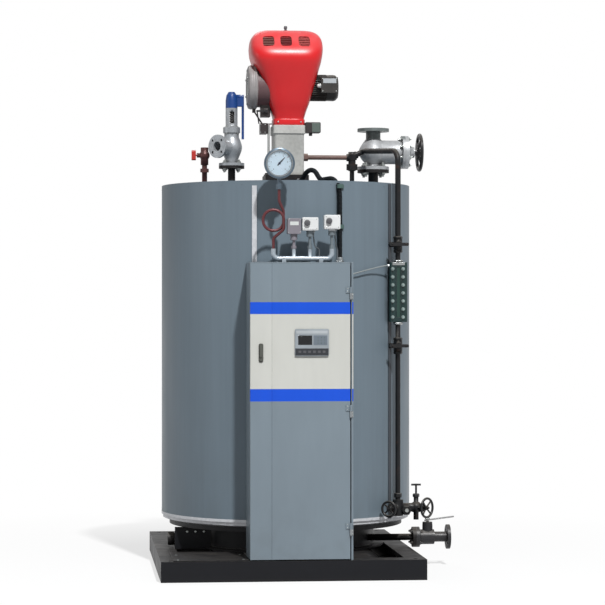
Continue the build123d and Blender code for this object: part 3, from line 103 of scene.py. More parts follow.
class Finish(Wiring):
    """One finish: a Principled shader, and the patterns in object space that feed it."""

    def __init__(self, title, colour, metallic=0.0, **constant):
        self.material = bpy.data.materials.new(title)
        self.material.use_nodes = True
        super().__init__(self.material.node_tree)
        self.shader = self.tree.nodes["Principled BSDF"]
        self.shader.inputs["Metallic"].default_value = metallic
        for socket, value in constant.items():
            self.shader.inputs[socket.replace("_", " ")].default_value = value
        coordinates = self.add("ShaderNodeTexCoord")
        self.place = coordinates.outputs["Object"]
        self.facing = coordinates.outputs["Normal"]
        self.colour = self.out("ShaderNodeRGB")
        self.colour.default_value = colour
        self.bumped = None

    def cloud(self, scale, detail=3.0, stretch=(1, 1, 1)):
        """A soft random pattern, about 0.5 on average."""
        place = self.out("ShaderNodeMapping", {"Vector": self.place, "Scale": stretch})
        return self.out("ShaderNodeTexNoise", {"Vector": place, "Scale": scale, "Detail": detail})

    def between(self, value, low, high, start=0.0, end=1.0):
        """The value, stretched so that low turns into start and high into end."""
        return self.out("ShaderNodeMapRange", {
            "Value": value, "From Min": low, "From Max": high, "To Min": start, "To Max": end})

    def sum(self, how, one, other):
        return self.out("ShaderNodeMath", {0: one, 1: other}, operation=how)

    def level(self):
        """Height above the floor."""
        return self.out("ShaderNodeSeparateXYZ", {"Vector": self.place}, output=2)

    def tint(self, share, colour):
        """Turns the colour into another one where the share is 1."""
        self.colour = self.out("ShaderNodeMix", {0: share, 6: self.colour, 7: colour}, output=2,
                               data_type="RGBA")

    def drift(self, amount, scale, stretch=(1, 1, 1), detail=3.0):
        """Lightens and darkens the colour by up to the amount, in clouds of that scale."""
        strength = self.between(self.cloud(scale, detail, stretch), 0.3, 0.7, 1 - amount, 1 + amount)
        self.colour = self.out("ShaderNodeVectorMath", {0: self.colour, 3: strength}, operation="SCALE")

    def rough(self, level, spread=0.06, scale=14.0, stretch=(1, 1, 1)):
        """Gloss that wanders a little over the surface."""
        value = self.between(self.cloud(scale, 4.0, stretch), 0.3, 0.7, level - spread, level + spread)
        self.tree.links.new(value, self.shader.inputs["Roughness"])

    def relief(self, height, depth):
        """Raises the surface by up to the depth where height is 1."""
        self.bumped = self.out("ShaderNodeBump", {"Height": height, "Distance": depth, "Normal": self.bumped})

    def dust(self, amount, colour=shade(150, 143, 132)):
        """Pale dust on what faces up, broken by a cloud."""
        up = self.out("ShaderNodeSeparateXYZ", {"Vector": self.facing}, output=2)
        share = self.sum("MULTIPLY", self.between(up, 0.25, 0.95, 0.0, amount),
                         self.between(self.cloud(11.0, 6.0), 0.3, 0.65, 0.25, 1.0))
        self.tint(share, colour)

    def worn(self, amount, colour, reach=0.003):
        """Shows what is under the paint along sharp edges."""
        eased = self.out("ShaderNodeBevel", {"Radius": reach})
        flat = self.out("ShaderNodeNewGeometry", output=1)
        match = self.out("ShaderNodeVectorMath", {0: eased, 1: flat}, output=1, operation="DOT_PRODUCT")
        share = self.sum("MULTIPLY", self.between(match, 0.99, 0.9, 0.0, amount),
                         self.between(self.cloud(38.0, 5.0), 0.42, 0.6))
        self.tint(share, colour)

    def shade_and_grime(self, amount, colour, reach=0.04):
        """Painted shade and grime in corners and under what hangs over: darkens where ambient occlusion finds
        shade, broken by a cloud.
        """
        open_share = self.out("ShaderNodeAmbientOcclusion", {"Distance": reach}, output=1, samples=6)
        share = self.sum("MULTIPLY", self.between(open_share, 0.85, 0.35, 0.0, amount),
                         self.between(self.cloud(25.0, 5.0), 0.25, 0.6, 0.4, 1.0))
        self.tint(share, colour)

    def done(self):
        self.tree.links.new(self.colour, self.shader.inputs["Base Color"])
        if self.bumped:
            self.tree.links.new(self.bumped, self.shader.inputs["Normal"])
        return self.material


def sprayed(title, colour, roughness, dust=0.0, worn=0.0, specular=0.4):
    """Sprayed paint: a slow drift of tone, orange peel, dust, painted shade and grime in the corners, and
    worn edges.
    """
    finish = Finish(title, colour, Specular_IOR_Level=specular)
    finish.drift(0.07, 2.6)
    finish.drift(0.04, 30.0)
    finish.rough(roughness)
    finish.relief(finish.cloud(300.0, 2.0), 0.00012)
    finish.shade_and_grime(0.35, shade(40, 38, 35))
    if dust:
        finish.dust(dust)
    if worn:
        finish.worn(worn, shade(96, 88, 80))
    return finish.done()


def cast(title, colour, roughness, metallic=0.0, grain=0.0006, worn=0.3, specular=0.4):
    """A painted or bare casting: sand grain, painted shade and grime in its hollows, and worn bright edges.
    """
    finish = Finish(title, colour, metallic, Specular_IOR_Level=specular)
    finish.drift(0.12, 9.0)
    finish.drift(0.08, 70.0)
    finish.rough(roughness, 0.1, 40.0)
    finish.relief(finish.cloud(170.0, 5.0), grain)
    finish.shade_and_grime(0.6, shade(35, 32, 29), 0.02)
    finish.dust(0.25)
    finish.worn(worn, shade(190, 190, 188), 0.002)
    return finish.done()


def bright(title, colour, roughness, stretch=(1, 1, 1), metallic=0.85):
    """Bare or plated metal with fine drawn lines along its length."""
    finish = Finish(title, colour, metallic)
    finish.drift(0.12, 8.0)
    finish.drift(0.07, 60.0, stretch)
    finish.rough(roughness, 0.1, 50.0, stretch)
    finish.relief(finish.cloud(220.0, 3.0, stretch), 0.00012)
    # painted shade and grime in the corners
    finish.shade_and_grime(0.4, shade(48, 42, 36), 0.02)
    return finish.done()


def moulded(title, colour, roughness, grain=0.00008, specular=0.45, dust=0.2):
    """Moulded plastic with a fine grain and a little dust."""
    finish = Finish(title, colour, Specular_IOR_Level=specular)
    finish.drift(0.05, 12.0)
    finish.rough(roughness, 0.05, 60.0)
    finish.relief(finish.cloud(480.0, 2.0), grain)
    # painted shade and grime in the corners
    finish.shade_and_grime(0.35, shade(40, 38, 36), 0.015)
    finish.dust(dust)
    return finish.done()


def black_pipe_paint(title, colour, roughness, rust=0.25):
    """Brushed black paint on pipe, with rust showing in spots."""
    finish = Finish(title, colour, Specular_IOR_Level=0.25)
    finish.drift(0.18, 14.0)
    finish.rough(roughness, 0.1, 30.0)
    finish.relief(finish.cloud(120.0, 4.0), 0.0004)
    finish.tint(finish.between(finish.cloud(26.0, 8.0), 0.6, 0.72, 0.0, rust), shade(84, 56, 40))
    finish.dust(0.3)
    finish.worn(0.4, shade(120, 112, 104), 0.002)
    return finish.done()


def jacket_sheet():
    """The jacket's painted sheet: slight waves, wipe marks down its height and dirt near the bottom."""
    finish = Finish("jacket sheet paint", shade(110, 124, 134), Specular_IOR_Level=0.25)
    finish.drift(0.05, 1.3)
    finish.drift(0.05, 7.0, (1, 1, 0.06), 5.0)
    finish.drift(0.025, 60.0, (1, 1, 0.03), 4.0)
    low = finish.between(finish.level(), 0.62, 0.25, 0.0, 0.12)
    splash = finish.between(finish.cloud(9.0, 7.0, (1, 1, 0.5)), 0.42, 0.62)
    finish.tint(finish.sum("MULTIPLY", low, splash), shade(92, 92, 88))
    finish.rough(0.42, 0.08, 6.0, (1, 1, 0.2))
    finish.relief(finish.cloud(2.4, 1.0, (1, 1, 0.5)), 0.006)
    finish.relief(finish.cloud(260.0, 2.0), 0.0001)
    # painted shade and grime in the corners
    finish.shade_and_grime(0.45, shade(46, 47, 47), 0.03)
    return finish.done()


# Paint bands across the cabinet's door: heights above the floor and colour
BAND_BLUE = shade(20, 82, 212)
DOOR_BANDS = (((0.928, 1.289), shade(203, 204, 198)), ((0.868, 0.928), BAND_BLUE),
              ((1.289, 1.347), BAND_BLUE))
BAND_EDGE = 0.0008


def cabinet_paint(title, banded):
    """The cabinet's grey paint, on the outside of the door with a white band between two blue ones."""
    finish = Finish(title, shade(124, 137, 146), Specular_IOR_Level=0.3, Coat_Weight=0.08, Coat_Roughness=0.2)
    if banded:
        level = finish.level()
        backwards = finish.out("ShaderNodeSeparateXYZ", {"Vector": finish.facing}, output=1)
        outside = finish.between(backwards, 0.5, 0.6, 1.0, 0.0)
        for (low, high), colour in DOOR_BANDS:
            above = finish.between(level, low, low + BAND_EDGE)
            below = finish.between(level, high, high - BAND_EDGE)
            finish.tint(finish.sum("MULTIPLY", outside, finish.sum("MULTIPLY", above, below)), colour)
    finish.drift(0.035, 2.0)
    finish.drift(0.02, 22.0, (1, 1, 0.2))
    low = finish.between(finish.level(), 0.45, 0.1, 0.0, 0.1)
    splash = finish.between(finish.cloud(12.0, 7.0), 0.45, 0.62)
    finish.tint(finish.sum("MULTIPLY", low, splash), shade(84, 82, 78))
    finish.rough(0.34, 0.05, 8.0)
    finish.relief(finish.cloud(1.7, 1.0), 0.002)
    finish.relief(finish.cloud(320.0, 2.0), 0.00008)
    # painted shade and grime in the corners
    finish.shade_and_grime(0.4, shade(44, 44, 42), 0.02)
    finish.worn(0.35, shade(70, 66, 62), 0.0015)
    return finish.done()


def galvanised(title, colour, metallic):
    """Zinc coated sheet with its spangle."""
    finish = Finish(title, colour, metallic)
    spangle = finish.out("ShaderNodeTexVoronoi", {"Vector": finish.place, "Scale": 55.0}, output=1)
    grey = finish.out("ShaderNodeSeparateColor", {0: spangle})
    finish.tint(finish.between(grey, 0.0, 1.0, 0.0, 0.25), shade(142, 147, 152))
    finish.rough(0.42, 0.1, 30.0)
    finish.relief(finish.cloud(150.0, 3.0), 0.0001)
    # painted shade and grime in the corners
    finish.shade_and_grime(0.5, shade(60, 56, 50), 0.03)
    return finish.done()


def clear_glass(title, tint):
    finish = Finish(title, tint, Transmission_Weight=1.0, IOR=1.47)
    finish.rough(0.05, 0.03, 40.0)
    return finish.done()


def dial_paper():
    finish = Finish("dial enamel", shade(232, 243, 250), Specular_IOR_Level=0.3, Coat_Weight=0.5,
                    Coat_Roughness=0.05)
    finish.drift(0.02, 20.0)
    finish.rough(0.4, 0.04)
    return finish.done()


def pale_case():
    """White plastic cases on grey stems: everything below the cases is grey."""
    finish = Finish("pressure controller case", shade(222, 224, 224), Specular_IOR_Level=0.45)
    below = finish.between(finish.level(), STEM_TOP, STEM_TOP + BAND_EDGE, 1.0, 0.0)
    finish.tint(below, shade(108, 118, 124))
    finish.drift(0.05, 12.0)
    finish.rough(0.4, 0.05, 60.0)
    # painted shade and grime in the corners
    finish.shade_and_grime(0.35, shade(40, 38, 36), 0.015)
    return finish.done()


def steam_casting():
    """Silver paint on the steam valve, darker on its upper branch."""
    finish = Finish("steam valve paint", shade(168, 170, 172), 0.25, Specular_IOR_Level=0.4)
    above = finish.between(finish.level(), BRANCH_LOW, BRANCH_LOW + BRANCH_FADE, 0.0, 0.85)
    finish.tint(above, shade(92, 102, 100))
    finish.drift(0.12, 9.0)
    finish.drift(0.08, 70.0)
    finish.rough(0.4, 0.1, 40.0)
    finish.relief(finish.cloud(170.0, 5.0), 0.0008)
    # painted shade and grime in the corners
    finish.shade_and_grime(0.6, shade(35, 32, 29), 0.02)
    return finish.done()


def hood_gloss():
    """Glossy red hood: deep colour under a thin clear coat, painted shade and grime in its corners, and a
    pale pink on its top that is dust together with a painted sky reflection.
    """
    finish = Finish("burner hood red", shade(212, 22, 28), Specular_IOR_Level=0.35, Coat_Weight=0.35,
                    Coat_Roughness=0.34)
    finish.drift(0.06, 5.0)
    finish.rough(0.36, 0.06, 12.0)
    finish.relief(finish.cloud(240.0, 2.0), 0.00012)
    # dark red painted shade and grime in the corners
    finish.shade_and_grime(0.5, shade(60, 18, 18), 0.02)
    # pale pink on what faces up: dust together with a painted reflection of the sky
    finish.dust(0.22, shade(226, 170, 172))
    return finish.done()


# How far down the controllers' cases reach, how far above its axis the steam valve's upper branch starts, and
# the heights above the floor that follow
CASES_REACH = 0.0765
BRANCH_RISE = 0.060
STEM_TOP = Place("pressure_controllers").high.z - CASES_REACH
BRANCH_LOW = Place("steam_bonnet").middle.z + BRANCH_RISE
BRANCH_FADE = 0.012

finishes = {
    "base_paint": sprayed("base frame paint", shade(22, 23, 27), 0.45, dust=0.10, worn=0.4, specular=0.2),
    "jacket_sheet": jacket_sheet(),
    "galvanised_trim": galvanised("galvanised trim", shade(214, 216, 220), 0.1),
    "vessel_steel": cast("vessel plate", shade(58, 58, 60), 0.6, 0.4, worn=0.1),
    "nozzle_black": black_pipe_paint("nozzle paint", shade(26, 24, 25), 0.5),
    "flue_steel": bright("flue sheet", shade(150, 152, 152), 0.4, (1, 0.1, 1)),
    "cabinet_paint": cabinet_paint("cabinet paint", banded=False),
    "hinge_steel": bright("hinge plating", shade(150, 155, 158), 0.35, (1, 1, 0.2)),
    "lock_black": moulded("lock enamel", shade(82, 84, 78), 0.42),
    "controller_plastic": moulded("controller case", shade(150, 158, 164), 0.45),
    "zinc_plate": galvanised("mounting plate zinc", shade(168, 170, 176), 0.3),
    "switchgear_plastic": moulded("switchgear case", shade(72, 76, 80), 0.5),
    "hood_red": hood_gloss(),
    "motor_black": cast("motor enamel", shade(62, 60, 58), 0.42, worn=0.15, specular=0.25),
    "intake_grey": cast("intake casting", shade(150, 146, 146), 0.5, 0.1, worn=0.2),
    "burner_casting": cast("burner casting", shade(184, 184, 180), 0.52, 0.15, 0.0005, worn=0.2),
    "servo_black": moulded("damper drive case", shade(46, 40, 40), 0.42),
    "valve_silver": cast("aluminium valve paint", shade(176, 179, 181), 0.38, 0.4, 0.0008, worn=0.2),
    "cap_blue": sprayed("safety cap enamel", shade(24, 62, 124), 0.38, dust=0.08, worn=0.2),
    "vent_bronze": cast("vent valve bronze", shade(84, 52, 50), 0.42, 0.4, 0.0003, worn=0.2),
    "handle_red": moulded("vent grip red", shade(178, 44, 36), 0.4),
    "wheel_black": sprayed("handwheel enamel", shade(28, 28, 30), 0.34, dust=0.3, worn=0.5, specular=0.35),
    "gas_pipe_brown": black_pipe_paint("gas pipe primer", shade(112, 90, 84), 0.5, 0.3),
    "pipe_black": black_pipe_paint("pipe paint", shade(23, 24, 26), 0.45),
    "gauge_green": cast("level gauge paint", shade(20, 45, 45), 0.42, worn=0.2),
    "gauge_glass": moulded("level gauge glass", shade(34, 66, 58), 0.12, 0.0, 0.5, 0.0),
    "lever_steel": bright("lever steel", shade(150, 150, 150), 0.38, (1, 1, 0.3)),
    "dial_case": bright("dial case steel", shade(92, 106, 118), 0.36, metallic=0.6),
    "dial_face": dial_paper(),
    # the siphon's copper is darkened, partly as painted shade from the dial above it
    "siphon_copper": bright("siphon tube", shade(94, 42, 46), 0.4, metallic=0.2),
    "manifold_steel": bright("manifold steel", shade(158, 168, 176), 0.42, (0.15, 1, 1), 0.4),
    "limit_grey": moulded("limit controller case", shade(126, 122, 130), 0.45),
    "controller_white": pale_case(),
    "conduit_black": moulded("conduit sheath", shade(14, 19, 23), 0.6, specular=0.15, dust=0.0),
    "strip_dark": sprayed("edge strip paint", shade(62, 68, 75), 0.45, specular=0.25),
    "sensing_steel": bright("sensing tube", shade(190, 192, 190), 0.34, (1, 1, 0.2)),
}
door_paint = cabinet_paint("door paint", banded=True)
# the spigot's dark brown is painted shade, where it sits beside the hood
spigot_painted_shade = cast("intake spigot", shade(98, 74, 76), 0.5, worn=0.1)
switch_cover = moulded("switch cover", shade(88, 100, 94), 0.45)
fastener = bright("zinc plated fasteners", shade(158, 162, 160), 0.34)
dark_fastener = black_pipe_paint("painted fasteners", shade(44, 44, 46), 0.4, 0.4)
bright_fastener = bright("gauge bolts", shade(160, 176, 174), 0.34)
safety_casting = cast("safety valve casting", shade(154, 158, 162), 0.4, 0.4, 0.0008, worn=0.2)
cock_steel = cast("blowdown valve steel", shade(46, 46, 48), 0.42, 0.2, 0.0006, worn=0.3)
cap_steel = bright("gauge cap steel", shade(165, 168, 168), 0.34)
screen_glass = moulded("dark screen", shade(14, 16, 20), 0.12, 0.0, 0.5, 0.0)
key_rubber = moulded("key pad", shade(42, 45, 50), 0.5)
side_panel = moulded("controller side panel", shade(108, 118, 128), 0.45)
pale_strip = moulded("pale strip", shade(176, 182, 186), 0.45)
pale_print = moulded("pale print", shade(206, 210, 208), 0.5)
lamp_green = moulded("lamp lens", shade(70, 96, 80), 0.3, dust=0.0)
knob_grey = moulded("knob", shade(84, 84, 88), 0.45)
clip_grey = moulded("conduit clip", shade(70, 95, 90), 0.45)
# The slats are one part in three tones: the dark red one is painted shade inside its recess, and the pale
# pink one is painted light
slat_grey = moulded("window slats, grey", shade(128, 78, 72), 0.5)
slat_painted_shade = moulded("window slats, dark", shade(122, 26, 36), 0.5)
slat_painted_light = moulded("window slats, light", shade(196, 84, 84), 0.5)
lead_grey = moulded("sensing line", shade(138, 145, 145), 0.5)
cable_grey = moulded("controller cable", shade(96, 102, 106), 0.5)
wire_blue = moulded("panel wire", shade(44, 66, 120), 0.5)
needle_blue = moulded("dial needle", shade(30, 45, 70), 0.45, dust=0.0)
dial_ink = moulded("dial ink", shade(22, 26, 34), 0.5, dust=0.0)
red_ink = moulded("dial limit mark", shade(190, 34, 28), 0.5, dust=0.0)


# Shapes

class Shape:
    """A mesh being put together from turned, lofted and extruded forms.

    Its faces are turned outwards in the end, unless own is taken back because they came with a finished mesh.
    """

    def __init__(self):
        self.mesh = bmesh.new()
        self.own = True

    def skin(self, rings, loop=False):
        """Faces from each ring of points to the next; a ring of one point is a pole."""
        rows = [[self.mesh.verts.new(point) for point in ring] for ring in rings]
        pairs = list(zip(rows, rows[1:] + rows[:1] if loop else rows[1:]))
        for low, high in pairs:
            count = max(len(low), len(high))
            for number in range(count):
                after = (number + 1) % count
                corners = (low[number % len(low)], low[after % len(low)],
                           high[after % len(high)], high[number % len(high)])
                self.mesh.faces.new(list(dict.fromkeys(corners)))
        if not loop:
            for row in (rows[0], rows[-1]):
                if len(row) > 2:
                    self.mesh.faces.new(row)
        return self

    def turned(self, outline, place, steps, loop=False):
        """Turns (radius, height) points round the place's Z axis."""
        rings = []
        for radius, height in outline:
            if radius == 0:
                rings.append([place @ Vector((0, 0, height))])
                continue
            turns = [2 * math.pi * step / steps for step in range(steps)]
            rings.append([place @ Vector((radius * math.cos(turn), radius * math.sin(turn), height))
                          for turn in turns])
        return self.skin(rings, loop)

    def bar(self, radius, start, end, steps):
        run = Vector(end) - Vector(start)
        outline = [(0, 0), (radius, 0), (radius, run.length), (0, run.length)]
        return self.turned(outline, facing(start, run), steps)

    def hoop(self, radius, tube, place, steps, sides):
        """A round ring of round wire."""
        turns = [2 * math.pi * side / sides for side in range(sides)]
        return self.turned([(radius + tube * math.cos(turn), tube * math.sin(turn)) for turn in turns],
                           place, steps, loop=True)

    def block(self, low, high, place=Matrix()):
        size = Vector(high) - Vector(low)
        middle = Matrix.Translation((Vector(low) + Vector(high)) / 2)
        bmesh.ops.create_cube(self.mesh, size=1.0, matrix=place @ middle @ Matrix.Diagonal((*size, 1)))
        return self

    def hexagon(self, across, start, end):
        run = Vector(end) - Vector(start)
        radius = across / math.sqrt(3)
        edge = 0.1 * across
        outline = [(0, 0), (radius - edge, 0), (radius, edge), (radius, run.length - edge),
                   (radius - edge, run.length), (0, run.length)]
        return self.turned(outline, facing(start, run), 6)

    def tube(self, points, radius, sides):
        """A round wire through a line of points."""
        points = [Vector(point) for point in points]
        turns = [2 * math.pi * side / sides for side in range(sides)]
        lean = None
        rings = []
        for number, point in enumerate(points):
            ahead = points[min(number + 1, len(points) - 1)] - points[max(number - 1, 0)]
            lean = lean or ahead.orthogonal()
            lean = (lean - ahead * lean.dot(ahead) / ahead.length_squared).normalized()
            other = ahead.normalized().cross(lean)
            rings.append([point + radius * (lean * math.cos(turn) + other * math.sin(turn))
                          for turn in turns])
        return self.skin(rings)

    def take(self, mesh, place=Matrix()):
        """Adds a finished mesh, as it is, at a place."""
        copy = mesh.copy()
        copy.transform(place)
        self.mesh.from_mesh(copy)
        bpy.data.meshes.remove(copy)
        return self

    def piece(self, name, finish, body, slot, stands_for=(), ease=0.0, angle=38.0):
        """The finished piece: merged, facing outwards, smooth where it curves, with its edges eased."""
        bmesh.ops.remove_doubles(self.mesh, verts=self.mesh.verts, dist=MERGE)
        if self.own:
            bmesh.ops.recalc_face_normals(self.mesh, faces=self.mesh.faces)
        for face in self.mesh.faces:
            face.smooth = True
            face.material_index = 0
        data = bpy.data.meshes.new(name)
        self.mesh.to_mesh(data)
        self.mesh.free()
        data.materials.clear()
        data.materials.append(finish)
        data.set_sharp_from_angle(angle=math.radians(angle))
        made = bpy.data.objects.new(name, data)
        bpy.context.scene.collection.objects.link(made)
        if ease:
            bevel = made.modifiers.new("Eased edges", "BEVEL")
            bevel.width = ease
            bevel.segments = 2
            bevel.limit_method = "ANGLE"
            bevel.angle_limit = math.radians(angle)
            bevel.harden_normals = True
        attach(made, body)
        if stands_for:
            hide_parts(*stands_for)


def joined_up(mesh):
    """Joins up what lies flat in a mesh."""
    bmesh.ops.dissolve_limit(mesh, angle_limit=math.radians(0.6), verts=mesh.verts, edges=mesh.edges)


def node_shape(node):
    """A node's own shape, merged, with its flat faces joined up."""
    shape = Shape()
    shape.take(nodes[node].data)
    shape.own = False
    bmesh.ops.remove_doubles(shape.mesh, verts=shape.mesh.verts, dist=MERGE)
    joined_up(shape.mesh)
    return shape


def dressed(node, finish, ease, shape=None):
    """The node's own shape, or one made from it, in its finish."""
    slot = slot_of_node[node]
    shape = shape or node_shape(node)
    shape.piece(f"{node}_finished", finish or finishes[slot], body_of_node[node], slot, (node,), ease)


# What repeats, as Geometry Nodes

class Recipe(Wiring):
    """A Geometry Nodes tree with named inputs."""

    def __init__(self, title, **inputs):
        super().__init__(bpy.data.node_groups.new(title, "GeometryNodeTree"))
        self.tree.interface.new_socket("Result", in_out="OUTPUT", socket_type="NodeSocketGeometry")
        self.sockets = {}
        for name, kind in {**inputs, "Finish": "Material"}.items():
            socket = self.tree.interface.new_socket(name.replace("_", " "), in_out="INPUT",
                                                    socket_type=f"NodeSocket{kind}")
            self.sockets[name] = socket.identifier
        self.entry = self.add("NodeGroupInput")

    def given(self, name):
        return self.entry.outputs[name.replace("_", " ")]

    def math(self, how, one, other):
        return self.out("ShaderNodeMath", {0: one, 1: other}, operation=how)

    def vector(self, x=0.0, y=0.0, z=0.0):
        return self.out("ShaderNodeCombineXYZ", {0: x, 1: y, 2: z})

    def close(self, geometry):
        whole = self.out("GeometryNodeRealizeInstances", {"Geometry": geometry})
        painted = self.out("GeometryNodeSetMaterial", {"Geometry": whole, "Material": self.given("Finish")})
        self.add("NodeGroupOutput", {"Result": painted})

    def grown(self, finish, **values):
        """What the tree makes with these values, as a plain mesh."""
        holder = bpy.data.objects.new("holder", bpy.data.meshes.new("holder"))
        bpy.context.scene.collection.objects.link(holder)
        modifier = holder.modifiers.new("Recipe", "NODES")
        modifier.node_group = self.tree
        for name, value in {**values, "Finish": finish}.items():
            modifier[self.sockets[name]] = value
        graph = bpy.context.evaluated_depsgraph_get()
        mesh = bpy.data.meshes.new_from_object(holder.evaluated_get(graph), depsgraph=graph)
        holder.modifiers.remove(modifier)
        bpy.data.objects.remove(holder)
        return mesh


def rows_recipe():
    """One piece repeated in rows and columns about the middle."""
    r = Recipe("in rows", Piece="Object", Columns="Int", Rows="Int", Pitch_across="Float", Pitch_up="Float")
    whole = r.out("GeometryNodeObjectInfo", {"Object": r.given("Piece"), "As Instance": True}, output=4)
    for count, pitch, axis in (("Columns", "Pitch_across", 0), ("Rows", "Pitch_up", 1)):
        step, start = [0.0] * 3, [0.0] * 3
        step[axis] = r.given(pitch)
        spread = r.math("MULTIPLY", r.math("SUBTRACT", r.given(count), 1.0), r.given(pitch))
        start[axis] = r.math("MULTIPLY", spread, -0.5)
        line = r.out("GeometryNodeMeshLine", {"Count": r.given(count), "Start Location": r.vector(*start),
                                              "Offset": r.vector(*step)})
        whole = r.out("GeometryNodeInstanceOnPoints", {"Points": line, "Instance": whole})
    r.close(whole)
    return r


def arc_recipe():
    """One piece repeated along an arc, each turned to point outwards along its X axis."""
    r = Recipe("round an arc", Piece="Object", Count="Int", Radius="Float", Start="Float", Sweep="Float")
    piece = r.out("GeometryNodeObjectInfo", {"Object": r.given("Piece"), "As Instance": True}, output=4)
    arc = r.out("GeometryNodeCurveArc", {"Resolution": r.given("Count"), "Radius": r.given("Radius"),
                                         "Start Angle": r.given("Start"), "Sweep Angle": r.given("Sweep")})
    spots = r.out("GeometryNodeCurveToPoints", {"Curve": arc, "Count": r.given("Count")})
    outward = r.out("FunctionNodeAlignRotationToVector", {"Vector": r.out("GeometryNodeInputPosition")},
                    axis="X", pivot_axis="Z")
    r.close(r.out("GeometryNodeInstanceOnPoints", {"Points": spots, "Instance": piece, "Rotation": outward}))
    return r


def ribbed_tube_recipe():
    """A ribbed sheath along a route of straight runs, with its corners rounded."""
    r = Recipe("ribbed tube", Route="Object", Bend="Float", Radius="Float", Pitch="Float", Depth="Float")
    route = r.out("GeometryNodeObjectInfo", {"Object": r.given("Route")}, output=4)
    bends = r.out("GeometryNodeFilletCurve", {"Curve": route, "Count": 10, "Radius": r.given("Bend"),
                                              "Limit Radius": True}, mode="POLY")
    spacing = r.math("MULTIPLY", r.given("Pitch"), 0.25)
    line = r.out("GeometryNodeResampleCurve", {"Curve": bends, "Length": spacing}, mode="LENGTH")
    travel = r.out("GeometryNodeSplineParameter", output=1)
    wave = r.math("SINE", r.math("MULTIPLY", r.math("DIVIDE", travel, r.given("Pitch")), 2 * math.pi), 0.0)
    ripple = r.math("MULTIPLY", r.math("ADD", wave, -1.0), r.math("MULTIPLY", r.given("Depth"), 0.5))
    profile = r.out("GeometryNodeCurvePrimitiveCircle", {"Resolution": 14, "Radius": 1.0})
    tube = r.out("GeometryNodeCurveToMesh", {"Curve": line, "Profile Curve": profile, "Fill Caps": True,
                                             "Scale": r.math("ADD", r.given("Radius"), ripple)})
    r.close(tube)
    return r


def coil_recipe():
    """A coil spring standing on its end."""
    r = Recipe("coil spring", Turns="Float", Radius="Float", Height="Float", Wire="Float")
    line = r.out("GeometryNodeCurveSpiral", {
        "Resolution": 24, "Rotations": r.given("Turns"), "Start Radius": r.given("Radius"),
        "End Radius": r.given("Radius"), "Height": r.given("Height")})
    wire = r.out("GeometryNodeCurvePrimitiveCircle", {"Resolution": 10, "Radius": r.given("Wire")})
    r.close(r.out("GeometryNodeCurveToMesh", {"Curve": line, "Profile Curve": wire, "Fill Caps": True}))
    return r


in_rows = rows_recipe()
round_arc = arc_recipe()
ribbed_tube = ribbed_tube_recipe()
coil_spring = coil_recipe()


def loose(shape):
    """A small shape as an object for a recipe to repeat."""
    data = bpy.data.meshes.new("unit")
    bmesh.ops.recalc_face_normals(shape.mesh, faces=shape.mesh.faces)
    shape.mesh.to_mesh(data)
    shape.mesh.free()
    unit = bpy.data.objects.new("unit", data)
    bpy.context.scene.collection.objects.link(unit)
    return unit


def repeated(recipe, shape, finish, **values):
    """A recipe's mesh made from copies of one small shape."""
    unit = loose(shape)
    mesh = recipe.grown(finish, Piece=unit, **values)
    bpy.data.objects.remove(unit)
    return mesh


def rowed(shape, finish, columns, across=0.0, rows=1, up=0.0):
    """Copies of a small shape in rows and columns."""
    return repeated(in_rows, shape, finish, Columns=columns, Rows=rows, Pitch_across=across, Pitch_up=up)


def ringed(shape, finish, count, radius, start=0.0):
    """Copies of a small shape evenly round a circle."""
    return repeated(round_arc, shape, finish, Count=count, Radius=radius, Start=start,
                    Sweep=2 * math.pi * (count - 1) / count)


def nut_shape(across, reach):
    """A hexagon nut on its washer, with the end of its stud."""
    height = 0.5 * across
    washer = [(0, 0), (0.65 * across, 0), (0.65 * across, 0.1 * across), (0, 0.1 * across)]
    nut = Shape().turned(washer, Matrix(), 20)
    nut.hexagon(across, (0, 0, 0), (0, 0, height))
    return nut.bar(0.3 * across, (0, 0, 0), (0, 0, height + reach * across), 12)


def domed_head(radius, height, place=Matrix(), sides=16):
    """The low round head of a screw or rivet."""
    outline = [(0, 0), (radius, 0), (radius, 0.4 * height), (0.7 * radius, 0.9 * height), (0, height)]
    return Shape().turned(outline, place, sides)


class Fixings:
    """Nuts, screws and rivets of one finish on one body, gathered into one piece."""

    def __init__(self, name, finish, body="boiler"):
        self.name, self.finish, self.body = name, finish, body
        self.shape = Shape()
        self.shape.own = False

    def studs(self, origin, direction, circle, count, across, turn, grip=0.0, reach=0.4):
        """Nuts on studs round a flange; with a grip, nuts on its far side too."""
        mesh = ringed(nut_shape(across, reach), self.finish, count, circle, turn)
        near_side = facing(origin, direction)
        self.shape.take(mesh, near_side)
        if grip:
            far_side = Matrix.Translation(-grip * Vector(direction)) @ near_side
            self.shape.take(mesh, far_side @ Matrix.Rotation(math.pi, 4, "Y") @ Matrix.Rotation(
                math.pi - 2 * turn, 4, "Z"))

    def nuts(self, origin, direction, across, columns, rows, pitch_across, pitch_up):
        """Nuts on studs in rows and columns on a flat face."""
        mesh = rowed(nut_shape(across, 0.35), self.finish, columns, pitch_across, rows, pitch_up)
        self.shape.take(mesh, facing(origin, direction))

    def heads(self, origin, direction, radius, height, columns=1, rows=1, across=0.0, up=0.0, sides=16):
        """Screw or rivet heads in rows and columns on a flat face."""
        mesh = rowed(domed_head(radius, height, sides=sides), self.finish, columns, across, rows, up)
        self.shape.take(mesh, facing(origin, direction))

    def around(self, level, radius, count, head, height, start):
        """Rivet heads round an upright cylinder."""
        rivet = domed_head(head, height, facing((0, 0, 0), RIGHT), 10)
        mesh = ringed(rivet, self.finish, count, radius, start)
        self.shape.take(mesh, Matrix.Translation((0, 0, level)))

    def fitted(self, slot):
        self.shape.piece(self.name, self.finish, self.body, slot)


# The nodes whose own shape is right

